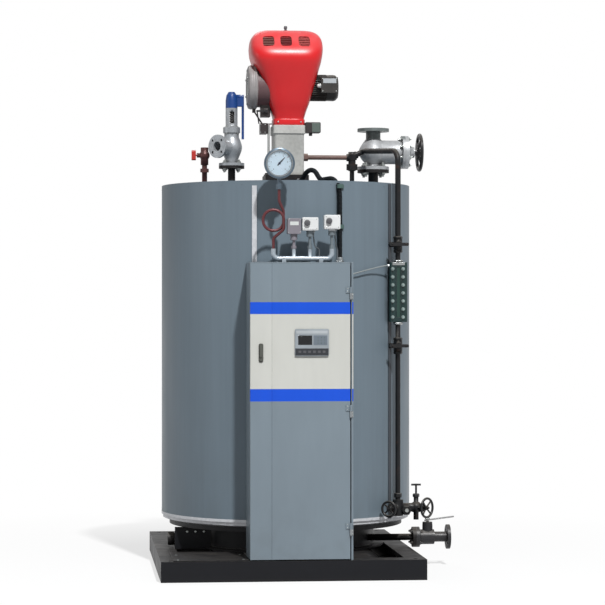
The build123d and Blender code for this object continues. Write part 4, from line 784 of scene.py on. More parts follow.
EASED = {
    "base_frame": 0.003, "base_beams": 0.002, "front_deck_plate": 0.001, "bottom_ring": 0.001,
    "cabinet_body": 0.0015, "cabinet_door": 0.0015, "door_lock": 0.001, "door_controller": 0.0015,
    "mounting_plate": 0.0005, "burner_neck": 0.002, "burner_flange": 0.002, "burner_servo": 0.0015,
    "pressure_switch": 0.0015, "limit_controller": 0.0015, "pressure_controllers": 0.0015,
    "level_gauge_body": 0.001, "blowdown_lever": 0.001,
}
OWN_FINISH = {
    "safety_body": safety_casting, "safety_bonnet": safety_casting, "steam_valve_body": steam_casting(),
    "blowdown_valve": cock_steel, "gauge_cocks": finishes["pipe_black"], "gauge_case": finishes["dial_case"],
}
REMADE = ("burner_hood", "burner_motor", "air_intake", "conduit", "cabinet_door", "door_controller")

for node in sorted(nodes):
    if node not in REMADE:
        dressed(node, OWN_FINISH.get(node), EASED.get(node, 0.0))


def smoothed(points, parts):
    """More points between the given ones, on a smooth curve through them."""
    points = [Vector(point) for point in points]
    for number in range(len(points) - 1):
        before, start = points[max(number - 1, 0)], points[number]
        end, after = points[number + 1], points[min(number + 2, len(points) - 1)]
        for part in range(parts):
            t = part / parts
            yield 0.5 * (2 * start + (end - before) * t + (2 * before - 5 * start + 4 * end - after) * t * t
                         + (3 * start - before - 3 * end + after) * t ** 3)
    yield points[-1]


# Burner hood

# Height above the hood's foot, half width, half depth and lean of each section
HOOD_SECTIONS = (
    (0.000, 0.0800, 0.0750, 0.014), (0.004, 0.0825, 0.0775, 0.014), (0.031, 0.0830, 0.0780, 0.014),
    (0.035, 0.0790, 0.0740, 0.014), (0.075, 0.0905, 0.0850, 0.014), (0.115, 0.1050, 0.0985, 0.014),
    (0.200, 0.1315, 0.1236, 0.013), (0.270, 0.1550, 0.1457, 0.008), (0.318, 0.1735, 0.1605, 0.003),
    (0.340, 0.1800, 0.1640, 0.001), (0.358, 0.1845, 0.1620, 0.000), (0.376, 0.1870, 0.1560, 0.000),
    (0.394, 0.1885, 0.1460, 0.000), (0.412, 0.1880, 0.1330, 0.000), (0.432, 0.1855, 0.1165, 0.000),
    (0.450, 0.1800, 0.1000, 0.000), (0.465, 0.1700, 0.0860, 0.000), (0.478, 0.1560, 0.0690, 0.000),
    (0.487, 0.1370, 0.0510, 0.000), (0.4925, 0.1080, 0.0330, 0.000), (0.4940, 0.0500, 0.0130, 0.000))
HOOD_SQUARENESS = 4.4
HOOD_STEPS = 112
LIP_SCREWS = (-0.045, 0.073)
LIP_FRONT = -0.0772
LIP_SCREW_RISE = 0.017
KNOB_HEIGHT = 0.025
KNOB_OUTLINE = ((0, -0.006), (0.013, -0.006), (0.013, 0.002), (0.0065, 0.003), (0.0065, 0.010),
                (0.0090, 0.012), (0.0090, 0.021), (0.0065, KNOB_HEIGHT), (0, KNOB_HEIGHT))

# The hood's windows: places across, half sizes and form, height above the foot, front, lean and depth
WINDOWS = (-0.098, -0.008, 0.086)
WINDOW_HALF = (0.029, 0.036)
WINDOW_SQUARENESS = 5.0
WINDOW_STEPS = 28
WINDOW_RISE = 0.430
WINDOW_FRONT = -0.1185
WINDOW_LEAN = math.radians(40)
WINDOW_DEPTH = 0.010
# The slats in each window: their number, pitch, turn and half sizes, and the gap at their ends
SLAT_COUNT = 5
SLAT_PITCH = 0.0125
SLAT_TURN = math.radians(-25)
SLAT_HALF = (0.0046, 0.0008)
SLAT_GAP = 0.0005


def rounded_square(turn, squareness):
    """A point on a rounded square of half size 1, at a turn round its middle."""
    return [math.copysign(abs(part) ** (2 / squareness), part) for part in (math.cos(turn), math.sin(turn))]


def hood_ring(foot, section):
    """One rounded-square section of the hood."""
    rise, half_width, half_depth, lean = section
    ring = []
    for step in range(HOOD_STEPS):
        x, y = rounded_square(2 * math.pi * step / HOOD_STEPS, HOOD_SQUARENESS)
        ring.append(Vector((lean + x * half_width, y * half_depth, foot + rise)))
    return ring


def smoothed_sections(sections, parts):
    """The hood's sections with smooth ones between them."""
    lean_of = {rise: lean for rise, half_width, half_depth, lean in sections}
    heights = sorted(lean_of)
    for rise, half_width, half_depth in smoothed([section[:3] for section in sections], parts):
        above = next((height for height in heights if height >= rise), heights[-1])
        below = max((height for height in heights if height <= rise), default=heights[0])
        share = (rise - below) / (above - below) if above > below else 0.0
        yield rise, half_width, half_depth, lean_of[below] + share * (lean_of[above] - lean_of[below])


def cut(target, cutters, how="DIFFERENCE"):
    """Cuts closed shapes out of a piece, or joins them to it, and gives a plain mesh."""
    tools = []
    for shape in cutters:
        tool = loose(shape)
        modifier = target.modifiers.new("Cut", "BOOLEAN")
        modifier.object = tool
        modifier.operation = how
        modifier.solver = "EXACT"
        tools.append(tool)
    graph = bpy.context.evaluated_depsgraph_get()
    mesh = bpy.data.meshes.new_from_object(target.evaluated_get(graph), depsgraph=graph)
    target.modifiers.clear()
    for tool in tools:
        bpy.data.objects.remove(tool)
    return mesh


def window_cutter(place):
    """The rounded block that cuts one window."""
    half_across, half_up = WINDOW_HALF
    corners = [rounded_square(2 * math.pi * (step + 0.5) / WINDOW_STEPS, WINDOW_SQUARENESS)
               for step in range(WINDOW_STEPS)]
    return Shape().skin([[place @ Vector((x * half_across, y * half_up, out)) for x, y in corners]
                         for out in (-WINDOW_DEPTH, 0.05)])


def window_slats(place):
    """The slats that stand in one window."""
    reach = WINDOW_HALF[0] - SLAT_GAP
    half_up, half_thick = SLAT_HALF
    slats = Shape()
    for step in range(SLAT_COUNT):
        shift = Vector((0, SLAT_PITCH * (step - (SLAT_COUNT - 1) / 2), -WINDOW_DEPTH / 2))
        slats.block((-reach, -half_up, -half_thick), (reach, half_up, half_thick),
                    place @ Matrix.Translation(shift) @ Matrix.Rotation(SLAT_TURN, 4, "X"))
    return slats


def burner_hood():
    """The red hood with its three windows and their slats, its knob and the screws in its lip."""
    room = Place("burner_hood")
    foot = room.low.z
    outward = Vector((0, -math.cos(WINDOW_LEAN), math.sin(WINDOW_LEAN)))
    places = [facing((x, WINDOW_FRONT, foot + WINDOW_RISE), outward) for x in WINDOWS]
    solid = loose(Shape().skin([hood_ring(foot, section) for section in smoothed_sections(HOOD_SECTIONS, 4)]))
    hood = Shape().take(cut(solid, [window_cutter(place) for place in places]))
    bpy.data.objects.remove(solid)
    hood.own = False
    hood.piece("burner_hood_shell", finishes["hood_red"], "boiler", "hood_red", ("burner_hood",), 0.0012,
               40.0)
    knob = Shape().turned(KNOB_OUTLINE, Matrix.Translation((0, 0, room.high.z - KNOB_HEIGHT)), 32)
    knob.piece("burner_hood_knob", knob_grey, "boiler", "hood_red")
    # each window's slats carry its tone: painted shade in the middle one, painted light in the right one
    for number, (place, finish) in enumerate(zip(places, (slat_grey, slat_painted_shade, slat_painted_light))):
        window_slats(place).piece(f"hood_window_slats_{number}", finish, "boiler", "hood_red")
    screws = Fixings("hood_screws", fastener)
    for x in LIP_SCREWS:
        screws.heads((x, LIP_FRONT, foot + LIP_SCREW_RISE), FRONT, 0.0042, 0.0022)
    screws.fitted("hood_red")


# Fan motor and air intake

# The terminal box, measured along the motor from its seat and up from its axis
MOTOR_BOX = ((0.078, -0.030), (0.160, 0.046))
MOTOR_BOX_BACK = -0.045
BOX_COVER_LIP = 0.002
BOX_COVER_DEPTH = 0.009
FIN_COUNT = 40
FIN_DEPTH = 0.010
FIN_HALF_THICK = 0.0014
FAN_COVER_LENGTH = 0.062
FAN_COVER_RINGS = (0.036, 0.044, 0.052)
GLAND_OUTLINE = ((0, 0), (0.010, 0), (0.010, 0.008), (0.006, 0.013), (0, 0.013))


def fan_motor():
    """The motor with its fins, terminal box, cable gland and blank plate."""
    room = Place("burner_motor")
    level = Place("air_intake").middle.z
    length, radius = room.size.x, room.size.z / 2
    start, end = room.low.x, room.high.x
    axis = facing((start, 0, level), RIGHT)
    core, cover = radius - FIN_DEPTH, length - FAN_COVER_LENGTH
    motor = Shape().turned([
        (0, 0), (radius - 0.001, 0), (radius, 0.001), (radius, 0.012), (core, 0.014), (core, cover),
        (radius - 0.002, cover + 0.002), (radius - 0.001, length - 0.024), (radius - 0.004, length - 0.012),
        (radius - 0.014, length - 0.003), (radius - 0.026, length), (0.030, length), (0.028, length - 0.004),
        (0, length - 0.004)], axis, 72)
    fin = Shape().block((-0.006, -FIN_HALF_THICK, 0.013), (0.0042, FIN_HALF_THICK, cover + 0.001))
    motor.take(ringed(fin, finishes["motor_black"], FIN_COUNT, radius - 0.0045), axis)
    for ring in FAN_COVER_RINGS:
        motor.hoop(ring, 0.0012, facing((end - 0.0014, 0, level), RIGHT), 48, 8)
    (left, under), (right, over) = MOTOR_BOX
    low = Vector((start + left, room.low.y, level + under))
    high = Vector((start + right, MOTOR_BOX_BACK, level + over))
    motor.block(low + BOX_COVER_LIP * BACK, high)
    motor.block((low.x - BOX_COVER_LIP, low.y, low.z - BOX_COVER_LIP),
                (high.x + BOX_COVER_LIP, low.y + BOX_COVER_DEPTH, high.z + BOX_COVER_LIP))
    motor.piece("fan_motor", finishes["motor_black"], "boiler", "motor_black", ("burner_motor",), 0.0008)
    side = Vector((low.x, low.y + 0.013, level + 0.004))
    gland = Shape().hexagon(0.022, side, side + 0.010 * LEFT)
    gland.turned(GLAND_OUTLINE, facing(side + 0.009 * LEFT, LEFT), 20)
    gland.piece("motor_cable_gland", pale_print, "boiler", "motor_black", ease=0.0005)
    plate = Shape().block((low.x + 0.008, low.y - 0.0012, high.z - 0.029),
                          (high.x - 0.006, low.y + 0.002, high.z - 0.005))
    plate.piece("motor_blank_plate", pale_strip, "boiler", "motor_black", ease=0.0004)
    middle = (low + high) / 2
    screws = Fixings("motor_screws", fastener)
    screws.heads((middle.x, low.y, middle.z), FRONT, 0.003, 0.0012, 2, 2, high.x - low.x - 0.012,
                 high.z - low.z - 0.012)
    screws.fitted("motor_black")


# How far the intake's spigot runs out of its drum, its radius, and the guard over the mouth
SPIGOT_REACH = 0.062
SPIGOT_RADIUS = 0.103
GUARD_RINGS = (0.015, 0.027, 0.039, 0.051)
GUARD_REACH = 0.060
GUARD_BARS = 4
INTAKE_STUD_CIRCLE = 0.086


def air_intake():
    """The intake's drum, the spigot behind it and the guard over its mouth."""
    room = Place("air_intake")
    level, depth, radius = room.middle.z, room.size.x, room.size.z / 2
    seat = SPIGOT_REACH
    inner = facing((room.high.x, 0, level), LEFT)
    case = Shape().turned([
        (0, seat - 0.001), (SPIGOT_RADIUS, seat - 0.001), (SPIGOT_RADIUS, seat), (radius - 0.006, seat),
        (radius, seat + 0.005), (radius, seat + 0.012), (radius - 0.0015, seat + 0.014),
        (radius - 0.0015, seat + 0.024), (radius, seat + 0.026), (radius, depth - 0.016),
        (radius - 0.005, depth - 0.005), (radius - 0.018, depth), (0.064, depth), (0.060, depth - 0.003),
        (0.056, depth - 0.030), (0, depth - 0.030)], inner, 96)
    case.piece("air_intake_case", finishes["intake_grey"], "boiler", "intake_grey", ("air_intake",), 0.001)
    # the spigot's dark brown finish is painted shade beside the hood
    spigot = Shape().turned([(0, 0), (SPIGOT_RADIUS, 0), (SPIGOT_RADIUS, seat), (0, seat)], inner, 96)
    spigot.piece("air_intake_spigot", spigot_painted_shade, "boiler", "intake_grey")
    guard = Shape()
    for ring in GUARD_RINGS:
        guard.hoop(ring, 0.0013, facing((room.low.x + 0.0035, 0, level), LEFT), 56, 8)
    middle = Vector((room.low.x + 0.005, 0, level))
    for turn in range(GUARD_BARS):
        angle = math.pi * turn / GUARD_BARS
        reach = Vector((0, math.cos(angle), math.sin(angle))) * GUARD_REACH
        guard.bar(0.0015, middle - reach, middle + reach, 8)
    guard.piece("air_intake_guard", fastener, "boiler", "intake_grey")
    screws = Fixings("air_intake_screws", fastener)
    screws.studs((room.low.x + 0.0005, 0, level), LEFT, INTAKE_STUD_CIRCLE, 6, 0.009, math.radians(30),
                 reach=0.1)
    screws.fitted("intake_grey")


# The damper's box and bearing and its crank's pin, from the spigot's lowest line, just past its right end
DAMPER_BOX = ((-0.050, -0.040, -0.052), (0.0, 0.024, 0.012))
DAMPER_BEARING = ((-0.034, -0.048, -0.036), (-0.010, -0.038, -0.010))
CRANK_PIN = (-0.022, -0.056, -0.023)
CRANK_REACH = 0.052
ROD_RADIUS = 0.0035
SPIGOT_PAST = 0.006


def damper_linkage():
    """The damper's box under the intake's spigot, its crank and the drive's cover screws."""
    servo = Place("burner_servo")
    intake = Place("air_intake")
    corner = Vector((intake.high.x + SPIGOT_PAST, 0, intake.middle.z - SPIGOT_RADIUS))
    case = Shape()
    for low, high in (DAMPER_BOX, DAMPER_BEARING):
        case.block(corner + Vector(low), corner + Vector(high))
    case.piece("damper_box", finishes["servo_black"], "boiler", "servo_black", ease=0.003)
    pin = corner + Vector(CRANK_PIN)
    crank = Shape().bar(0.0075, pin, pin + 0.012 * BACK, 20)
    crank.block(pin + Vector((-CRANK_REACH, 0.002, -0.005)), pin + Vector((0, 0.006, 0.005)))
    crank.bar(ROD_RADIUS, pin + Vector((-0.048, 0.004, 0)),
              Vector((servo.high.x - 0.070, pin.y + 0.008, servo.low.z + 0.050)), 14)
    crank.piece("damper_crank", dark_fastener, "boiler", "servo_black", ease=0.0006)
    switch = Place("pressure_switch")
    cover = Shape().block((switch.middle.x - 0.004, switch.low.y - 0.0015, switch.high.z - 0.052),
                          (switch.high.x - 0.004, switch.low.y + 0.002, switch.high.z - 0.004))
    cover.piece("pressure_switch_cover", switch_cover, "boiler", "servo_black", ease=0.0015)
    screws = Fixings("damper_drive_screws", fastener)
    screws.heads((servo.high.x - 0.050, servo.low.y, servo.low.z + 0.027), FRONT, 0.0026, 0.0014, 2, 2,
                 0.022, 0.040)
    screws.fitted("servo_black")


# Conduit, on the same route as the solid one

CONDUIT_X = 0.210
CONDUIT_RADIUS = 0.0125
CONDUIT_STAND_OFF = 0.006
CONDUIT_RIM_RISE = 0.014
CONDUIT_ARCH = 0.056
CONDUIT_BEND = 0.15
CONDUIT_RIB_PITCH = 0.0065
CONDUIT_RIB_DEPTH = 0.0024
CLIP_SHARES = (0.44, 0.93)
CLIP_HALF = 0.010
CONDUIT_NUT = 0.012


def route_line(route):
    """Straight runs through the route's points, as an object for the ribbed tube to follow."""
    line = bpy.data.curves.new("conduit route", "CURVE")
    line.dimensions = "3D"
    spline = line.splines.new("POLY")
    spline.points.add(len(route) - 1)
    for point, spot in zip(spline.points, route):
        point.co = (*spot, 1.0)
    holder = bpy.data.objects.new("route", line)
    bpy.context.scene.collection.objects.link(holder)
    return holder


def conduit():
    """The ribbed conduit up the jacket and over its rim, with its clips and end nuts."""
    x, radius = CONDUIT_X, CONDUIT_RADIUS
    wall = -math.sqrt((Place("jacket_shell").size.x / 2) ** 2 - x ** 2)
    out = wall - radius - CONDUIT_STAND_OFF
    top = Place("jacket_top").high.z
    start = Place("cabinet_body").high.z
    rim, deck = top + CONDUIT_RIM_RISE, top + radius
    arch, low = deck + CONDUIT_ARCH, deck + CONDUIT_STAND_OFF
    run = Place("burner_flange").low.y - 0.0003 - out
    turns = ((0.0, 0.0, start), (0.0, 0.0, rim), (0.040, 0.18, rim), (0.062, 0.30, deck), (0.075, 0.42, deck),
             (0.095, 0.54, arch), (0.125, 0.68, arch), (0.150, 0.80, low), (0.150, 1.0, low))
    route = [Vector((x - shift, out + share * run, level)) for shift, share, level in turns]
    holder = route_line(route)
    mesh = ribbed_tube.grown(finishes["conduit_black"], Route=holder, Bend=CONDUIT_BEND, Radius=radius,
                             Pitch=CONDUIT_RIB_PITCH, Depth=CONDUIT_RIB_DEPTH)
    bpy.data.objects.remove(holder)
    Shape().take(mesh).piece("conduit_sheath", finishes["conduit_black"], "boiler", "conduit_black",
                             ("conduit",), angle=60.0)
    clips = Shape()
    for share in CLIP_SHARES:
        level = start + share * (top - start)
        clips.turned([(radius, -CLIP_HALF), (radius + 0.0024, -CLIP_HALF), (radius + 0.0024, CLIP_HALF),
                      (radius, CLIP_HALF)], Matrix.Translation((x, out, level)), 32, loop=True)
        clips.block((x - 0.022, wall - 0.004, level - CLIP_HALF),
                    (x + 0.022, wall + 0.010, level + CLIP_HALF))
        clips.block((x - 0.012, out + 0.006, level - CLIP_HALF), (x + 0.012, wall, level + CLIP_HALF))
    clips.piece("conduit_clips", clip_grey, "boiler", "conduit_black", ease=0.0004)
    gland = Shape()
    for spot, direction in ((route[0], UP), (route[-1], FRONT)):
        collar = spot + CONDUIT_NUT * direction
        gland.hexagon(0.034, spot, collar)
        gland.turned([(0.0128, 0), (0.0152, 0), (0.0152, 0.010), (0.0138, 0.016), (0.0128, 0.016)],
                     facing(collar, direction), 24, loop=True)
    gland.piece("conduit_glands", finishes["hinge_steel"], "boiler", "conduit_black", ease=0.0005)


# Dial gauge

DIAL_START = math.radians(225)
DIAL_SWEEP = math.radians(-270)
DIAL_LIMIT = 0.7
NEEDLE_TURN = math.radians(48)
NEEDLE_LIFT = 0.003
NEEDLE_OUTLINE = ((-0.014, -0.0030), (0.0, -0.0036), (0.030, -0.0024), (0.043, 0.0), (0.030, 0.0024),
                  (0.0, 0.0036), (-0.014, 0.0030))
NEEDLE_HUB = ((0, -0.003), (0.006, -0.003), (0.006, 0.0015), (0.004, 0.0025), (0, 0.0025))
# Number, length and width of the long marks and the short ones
DIAL_MARKS = ((11, 0.008, 0.0012), (51, 0.004, 0.0006))
FIGURE_COUNT = 6
FIGURE_SIZE = 0.009
FIGURE_INSET = 0.018


def numeral(words, size, place, shape):
    """Adds raised figures to a shape."""
    text = bpy.data.curves.new("figures", "FONT")
    text.body = words
    text.size = size
    text.align_x = "CENTER"
    text.align_y = "CENTER"
    text.extrude = 0.0002
    holder = bpy.data.objects.new("figures", text)
    bpy.context.scene.collection.objects.link(holder)
    graph = bpy.context.evaluated_depsgraph_get()
    mesh = bpy.data.meshes.new_from_object(holder.evaluated_get(graph), depsgraph=graph)
    bpy.data.objects.remove(holder)
    shape.take(mesh, place)


def dial_gauge():
    """The dial's marks and figures, its limit mark, needle, glass and rim."""
    face = Place("gauge_face")
    centre = Vector((face.middle.x, face.low.y, face.middle.z))
    radius = face.size.x / 2
    front = facing(centre, FRONT)
    marks = Shape()
    for count, length, width in DIAL_MARKS:
        mark = Shape().block((-length, -width / 2, 0.0), (0.0, width / 2, 0.0003))
        marks.take(repeated(round_arc, mark, dial_ink, Count=count, Radius=radius - 0.003, Start=DIAL_START,
                            Sweep=DIAL_SWEEP), front)
    for number in range(FIGURE_COUNT):
        turn = DIAL_START + DIAL_SWEEP * number / (FIGURE_COUNT - 1)
        spot = centre + Vector((math.cos(turn), 0, math.sin(turn))) * (radius - FIGURE_INSET)
        numeral(str(number * 2), FIGURE_SIZE, facing(spot, FRONT), marks)
    marks.own = False
    marks.piece("dial_figures", dial_ink, "boiler", "dial_face")
    limit = Shape().block((radius - 0.012, -0.0010, 0.0002), (radius - 0.002, 0.0010, 0.0007),
                          front @ Matrix.Rotation(DIAL_START + DIAL_SWEEP * DIAL_LIMIT, 4, "Z"))
    limit.piece("dial_limit_mark", red_ink, "boiler", "dial_face")
    hub = facing(centre + NEEDLE_LIFT * FRONT, FRONT)
    pointer = hub @ Matrix.Rotation(NEEDLE_TURN, 4, "Z")
    needle = Shape().skin([[pointer @ Vector((x, y, z)) for x, y in NEEDLE_OUTLINE] for z in (0.0, 0.0008)])
    needle.turned(NEEDLE_HUB, hub, 32)
    needle.piece("dial_needle", needle_blue, "boiler", "dial_face")
    rim = Place("gauge_case").low.y
    glass = Shape().turned([(0, 0), (radius + 0.0004, 0), (radius + 0.0004, 0.0016), (0, 0.0022)],
                           facing((centre.x, rim + 0.0058, centre.z), FRONT), 64)
    glass.piece("dial_glass", clear_glass("dial glass", shade(240, 246, 250)), "boiler", "dial_case")
    bezel = Shape().turned([(radius + 0.0015, 0.004), (radius + 0.0015, 0.0), (radius + 0.0040, -0.0008),
                            (radius + 0.0060, 0.0), (radius + 0.0060, 0.004)],
                           facing((centre.x, rim + 0.0028, centre.z), FRONT), 72, loop=True)
    bezel.piece("dial_bezel_lip", finishes["hinge_steel"], "boiler", "dial_case")


# Controllers above the cabinet

HALF_BOX = 0.039
BOX_HEIGHTS = (0.064, 0.069)
BOX_STEP = 0.012
COVER_INSET = 0.004
KNOB_SHIFT = -0.016
KNOB_SHARE = 0.58
SETTING_KNOB = ((0, 0), (0.0150, 0), (0.0140, 0.0125), (0.0120, 0.0138), (0, 0.0138))
# Where the two cables run, across: from their controllers' middles, and into the cabinet's roof
CABLE_SHIFTS = (0.020, 0.018)
CABLE_ENDS = (0.096, 0.186)
CABLE_RADIUS = 0.0032


def pressure_controller_details():
    """Dark setting knobs, cover screws and the cable of each controller."""
    pair = Place("pressure_controllers")
    limit = Place("limit_controller")
    roof = Place("cabinet_body").high.z
    middles = (pair.low.x + HALF_BOX, pair.high.x - HALF_BOX)
    tops = (pair.high.z - BOX_STEP, pair.high.z)
    knobs, covers = Shape(), Shape()
    screws = Fixings("controller_cover_screws", fastener)
    face = pair.low.y + 0.012
    for x, top, height in zip(middles, tops, BOX_HEIGHTS):
        spot = Vector((x + KNOB_SHIFT, face, top - (1 - KNOB_SHARE) * height))
        knobs.turned(SETTING_KNOB, facing(spot, FRONT), 28)
        knobs.block(spot + Vector((-0.0015, -0.0155, -0.011)), spot + Vector((0.0015, -0.0125, 0.011)))
        covers.block((x - HALF_BOX + COVER_INSET, face - 0.0016, top - height + COVER_INSET),
                     (x + HALF_BOX - COVER_INSET, face + 0.001, top - COVER_INSET))
        screws.heads((x, face - 0.0014, top - height / 2), FRONT, 0.0024, 0.0012, 2, 2,
                     2 * HALF_BOX - 0.018, height - 0.018)
    knobs.piece("setting_knobs", knob_grey, "boiler", "controller_white", ease=0.0006)
    covers.piece("controller_covers", finishes["controller_white"], "boiler", "controller_white", ease=0.0014)
    window = Shape().block((limit.low.x + 0.012, limit.low.y - 0.0008, limit.high.z - 0.034),
                           (limit.high.x - 0.012, limit.low.y + 0.001, limit.high.z - 0.016))
    window.piece("limit_controller_scale", pale_print, "boiler", "limit_grey", ease=0.0003)
    screws.heads((limit.middle.x, limit.low.y, limit.high.z - 0.038), FRONT, 0.0024, 0.0012, 2, 2,
                 limit.size.x - 0.012, 0.062)
    screws.fitted("controller_white")
    cables, glands = Shape(), Shape()
    back = pair.high.y - 0.012
    for x, top, height, shift, end in zip(middles, tops, BOX_HEIGHTS, CABLE_SHIFTS, CABLE_ENDS):
        start = Vector((x + shift, back, top - height))
        foot = Vector((end, back + 0.020, roof))
        path = [start, start - 0.030 * UP, (start.x + 0.3 * (end - start.x), back + 0.006, start.z - 0.075),
                foot + 0.060 * UP, foot + 0.002 * UP]
        cables.tube(list(smoothed(path, 8)), CABLE_RADIUS, 10)
        glands.hexagon(0.014, foot, foot + 0.010 * UP)
        glands.hexagon(0.013, start - 0.010 * UP, start)
    cables.piece("controller_cables", cable_grey, "boiler", "controller_white")
    glands.piece("controller_glands", finishes["hinge_steel"], "boiler", "controller_white", ease=0.0004)


# Controller on the door: the photographed one sits this far to the left of the solid one

CONTROLLER_SHIFT = -0.070
CONTROLLER_BEZEL = 0.008
PATCH_THICKNESS = 0.002


def door_with_controller():
    """The door without the solid one's cut-out, and the controller shifted to its place."""
    case = Place("door_controller")
    front = case.low.y + CONTROLLER_BEZEL
    patch = Shape().block((case.low.x + 0.001, front, case.low.z + 0.001),
                          (case.high.x - 0.001, front + PATCH_THICKNESS, case.high.z - 0.001))
    blank = loose(node_shape("cabinet_door"))
    shape = Shape().take(cut(blank, [patch], "UNION"))
    bpy.data.objects.remove(blank)
    shape.own = False
    joined_up(shape.mesh)
    dressed("cabinet_door", door_paint, EASED["cabinet_door"], shape)
    moved = Shape().take(nodes["door_controller"].data, Matrix.Translation((CONTROLLER_SHIFT, 0, 0)))
    moved.own = False
    dressed("door_controller", None, EASED["door_controller"], moved)


def controller_details():
    """The screen, keys, lamps and plain panels on the controller's face."""
    case = Place("door_controller")
    front = case.low.y
    low_x, high_x = case.low.x + CONTROLLER_SHIFT, case.high.x + CONTROLLER_SHIFT
    middle_x = (low_x + high_x) / 2
    low_z, high_z, middle_z = case.low.z, case.high.z, case.middle.z

    def panel(name, finish, low, high, ease=0.0003):
        Shape().block((low[0], front + low[1], low[2]), (high[0], front + high[1], high[2])).piece(
            name, finish, "door", "controller_plastic", ease=ease)

    panel("controller_screen", screen_glass, (low_x + 0.0155, 0.0003, middle_z - 0.0115),
          (low_x + 0.0825, 0.0014, middle_z + 0.0335), 0.0004)
    panel("controller_key_strip", key_rubber, (low_x + 0.0015, -0.0006, low_z + 0.0025),
          (high_x - 0.0015, 0.0009, low_z + 0.0365))
    panel("controller_side_panel", side_panel, (low_x + 0.090, -0.0008, middle_z - 0.012),
          (high_x - 0.008, 0.0004, middle_z + 0.034))
    panel("controller_blank_strip", pale_strip, (low_x + 0.006, -0.0004, high_z - 0.022),
          (high_x - 0.006, 0.0004, high_z - 0.008), 0.0002)
    key = Shape().block((-0.0065, -0.0055, 0.0), (0.0065, 0.0055, 0.0018))
    keys = Shape().take(rowed(key, pale_print, 6, 0.0235),
                        facing((middle_x, front - 0.0006, low_z + 0.020), FRONT))
    keys.piece("controller_keys", knob_grey, "door", "controller_plastic", ease=0.0006)
    light = Shape().turned([(0, 0), (0.0022, 0), (0.0018, 0.001), (0, 0.0015)], Matrix(), 14)
    lamps = Shape().take(rowed(light, red_ink, 3, 0.016, 3, 0.013),
                         facing((high_x - 0.036, front - 0.0008, middle_z + 0.011), FRONT))
    lamps.piece("controller_lamps", lamp_green, "door", "controller_plastic")


# Cabinet: edge strip, hinge screws, the door's gasket and what shows inside

GASKET_INSET = 0.012
GASKET_HINGE_INSET = 0.018
GASKET_WIDTH = 0.006
GASKET_DEPTH = 0.0035


def cabinet_details():
    """The edge strip, the screws of the hinges and the door's gasket."""
    body = Place("cabinet_body")
    door = Place("cabinet_door")
    hinges = Place("door_hinges")
    strip = Shape().block((door.high.x + 0.0012, body.low.y - 0.0008, body.low.z + 0.002),
                          (body.high.x - 0.0002, body.low.y + 0.001, body.high.z - 0.002))
    strip.piece("cabinet_edge_strip", door_paint, "boiler", "cabinet_paint", ease=0.0003)
    face = hinges.high.y - 0.003
    levels = (hinges.low.z + 0.030, hinges.middle.z + 0.0015, hinges.high.z - 0.027)
    on_door = Fixings("hinge_screws_door", fastener, "door")
    on_post = Fixings("hinge_screws_post", fastener)
    for level in levels:
        on_door.heads((hinges.low.x - 0.010, face, level + 0.015), FRONT, 0.0026, 0.0013, rows=2, up=0.015)
        on_post.heads((body.high.x - 0.005, face, level - 0.015), FRONT, 0.0026, 0.0013, rows=2, up=0.015)
    on_door.fitted("hinge_steel")
    on_post.fitted("hinge_steel")
    gasket = Shape()
    low = door.low + Vector((GASKET_INSET, 0, GASKET_INSET))
    high = door.high - Vector((GASKET_HINGE_INSET, 0, GASKET_INSET))
    back = door.high.y
    for left, right, foot, top in ((low.x, high.x, low.z, low.z + GASKET_WIDTH),
                                   (low.x, high.x, high.z - GASKET_WIDTH, high.z),
                                   (low.x, low.x + GASKET_WIDTH, low.z, high.z),
                                   (high.x - GASKET_WIDTH, high.x, low.z, high.z)):
        gasket.block((left, back - 0.0005, foot), (right, back + GASKET_DEPTH, top))
    gasket.piece("door_gasket", key_rubber, "door", "cabinet_paint", ease=0.0008)


# Rows in the cabinet: height as a share of the mounting plate's, count and pitch
BREAKER_ROW = (0.867, 9, 0.036)
CONTACTOR_ROW = (0.648, 5, 0.046)
TERMINAL_ROW = (0.297, 24, 0.012)
WIRE_ROWS = ((0.913, 18, 0.018), (0.815, 18, 0.018), (0.706, 15, 0.0153), (0.588, 15, 0.0153),
             (0.245, 24, 0.012))
# How far each stands out from the mounting plate
BREAKER_OUT = 0.056
TERMINAL_OUT = 0.044
WIRE_OUT = 0.030


def switchgear_details():
    """Toggles, contactor faces, terminal screws and the wires between them."""
    front = Place("switchgear").low.y
    plate = Place("mounting_plate")
    back = plate.low.y

    def level(share):
        return plate.low.z + share * plate.size.z

    def row(into, shape, finish, out, share, count, pitch):
        return into.take(rowed(shape, finish, count, pitch), facing((0, out, level(share)), FRONT))

    toggle = Shape().block((-0.005, -0.007, 0.0), (0.005, 0.007, 0.009))
    toggles = row(Shape(), toggle, knob_grey, back - BREAKER_OUT, *BREAKER_ROW)
    toggles.piece("breaker_toggles", screen_glass, "boiler", "switchgear_plastic", ease=0.0006)
    pad = Shape().block((-0.015, -0.018, 0.0), (0.015, 0.018, 0.002))
    pads = row(Shape(), pad, pale_print, front, *CONTACTOR_ROW)
    pads.piece("contactor_faces", pale_strip, "boiler", "switchgear_plastic", ease=0.0006)
    screws = Fixings("terminal_screws", fastener)
    for out, (share, count, pitch), radius, up in ((TERMINAL_OUT, TERMINAL_ROW, 0.003, 0.034),
                                                   (BREAKER_OUT, BREAKER_ROW, 0.0035, 0.064)):
        screws.heads((0, back - out, level(share)), FRONT, radius, 0.001, count, 2, pitch, up, sides=8)
    screws.fitted("switchgear_plastic")
    wires = Shape()
    for wire_row in WIRE_ROWS:
        wire = Shape().bar(0.0013, (0, -0.024, 0), (0, 0.024, 0), 8)
        row(wires, wire, wire_blue, back - WIRE_OUT, *wire_row)
    wires.piece("panel_wires", wire_blue, "boiler", "switchgear_plastic")


# Level gauge

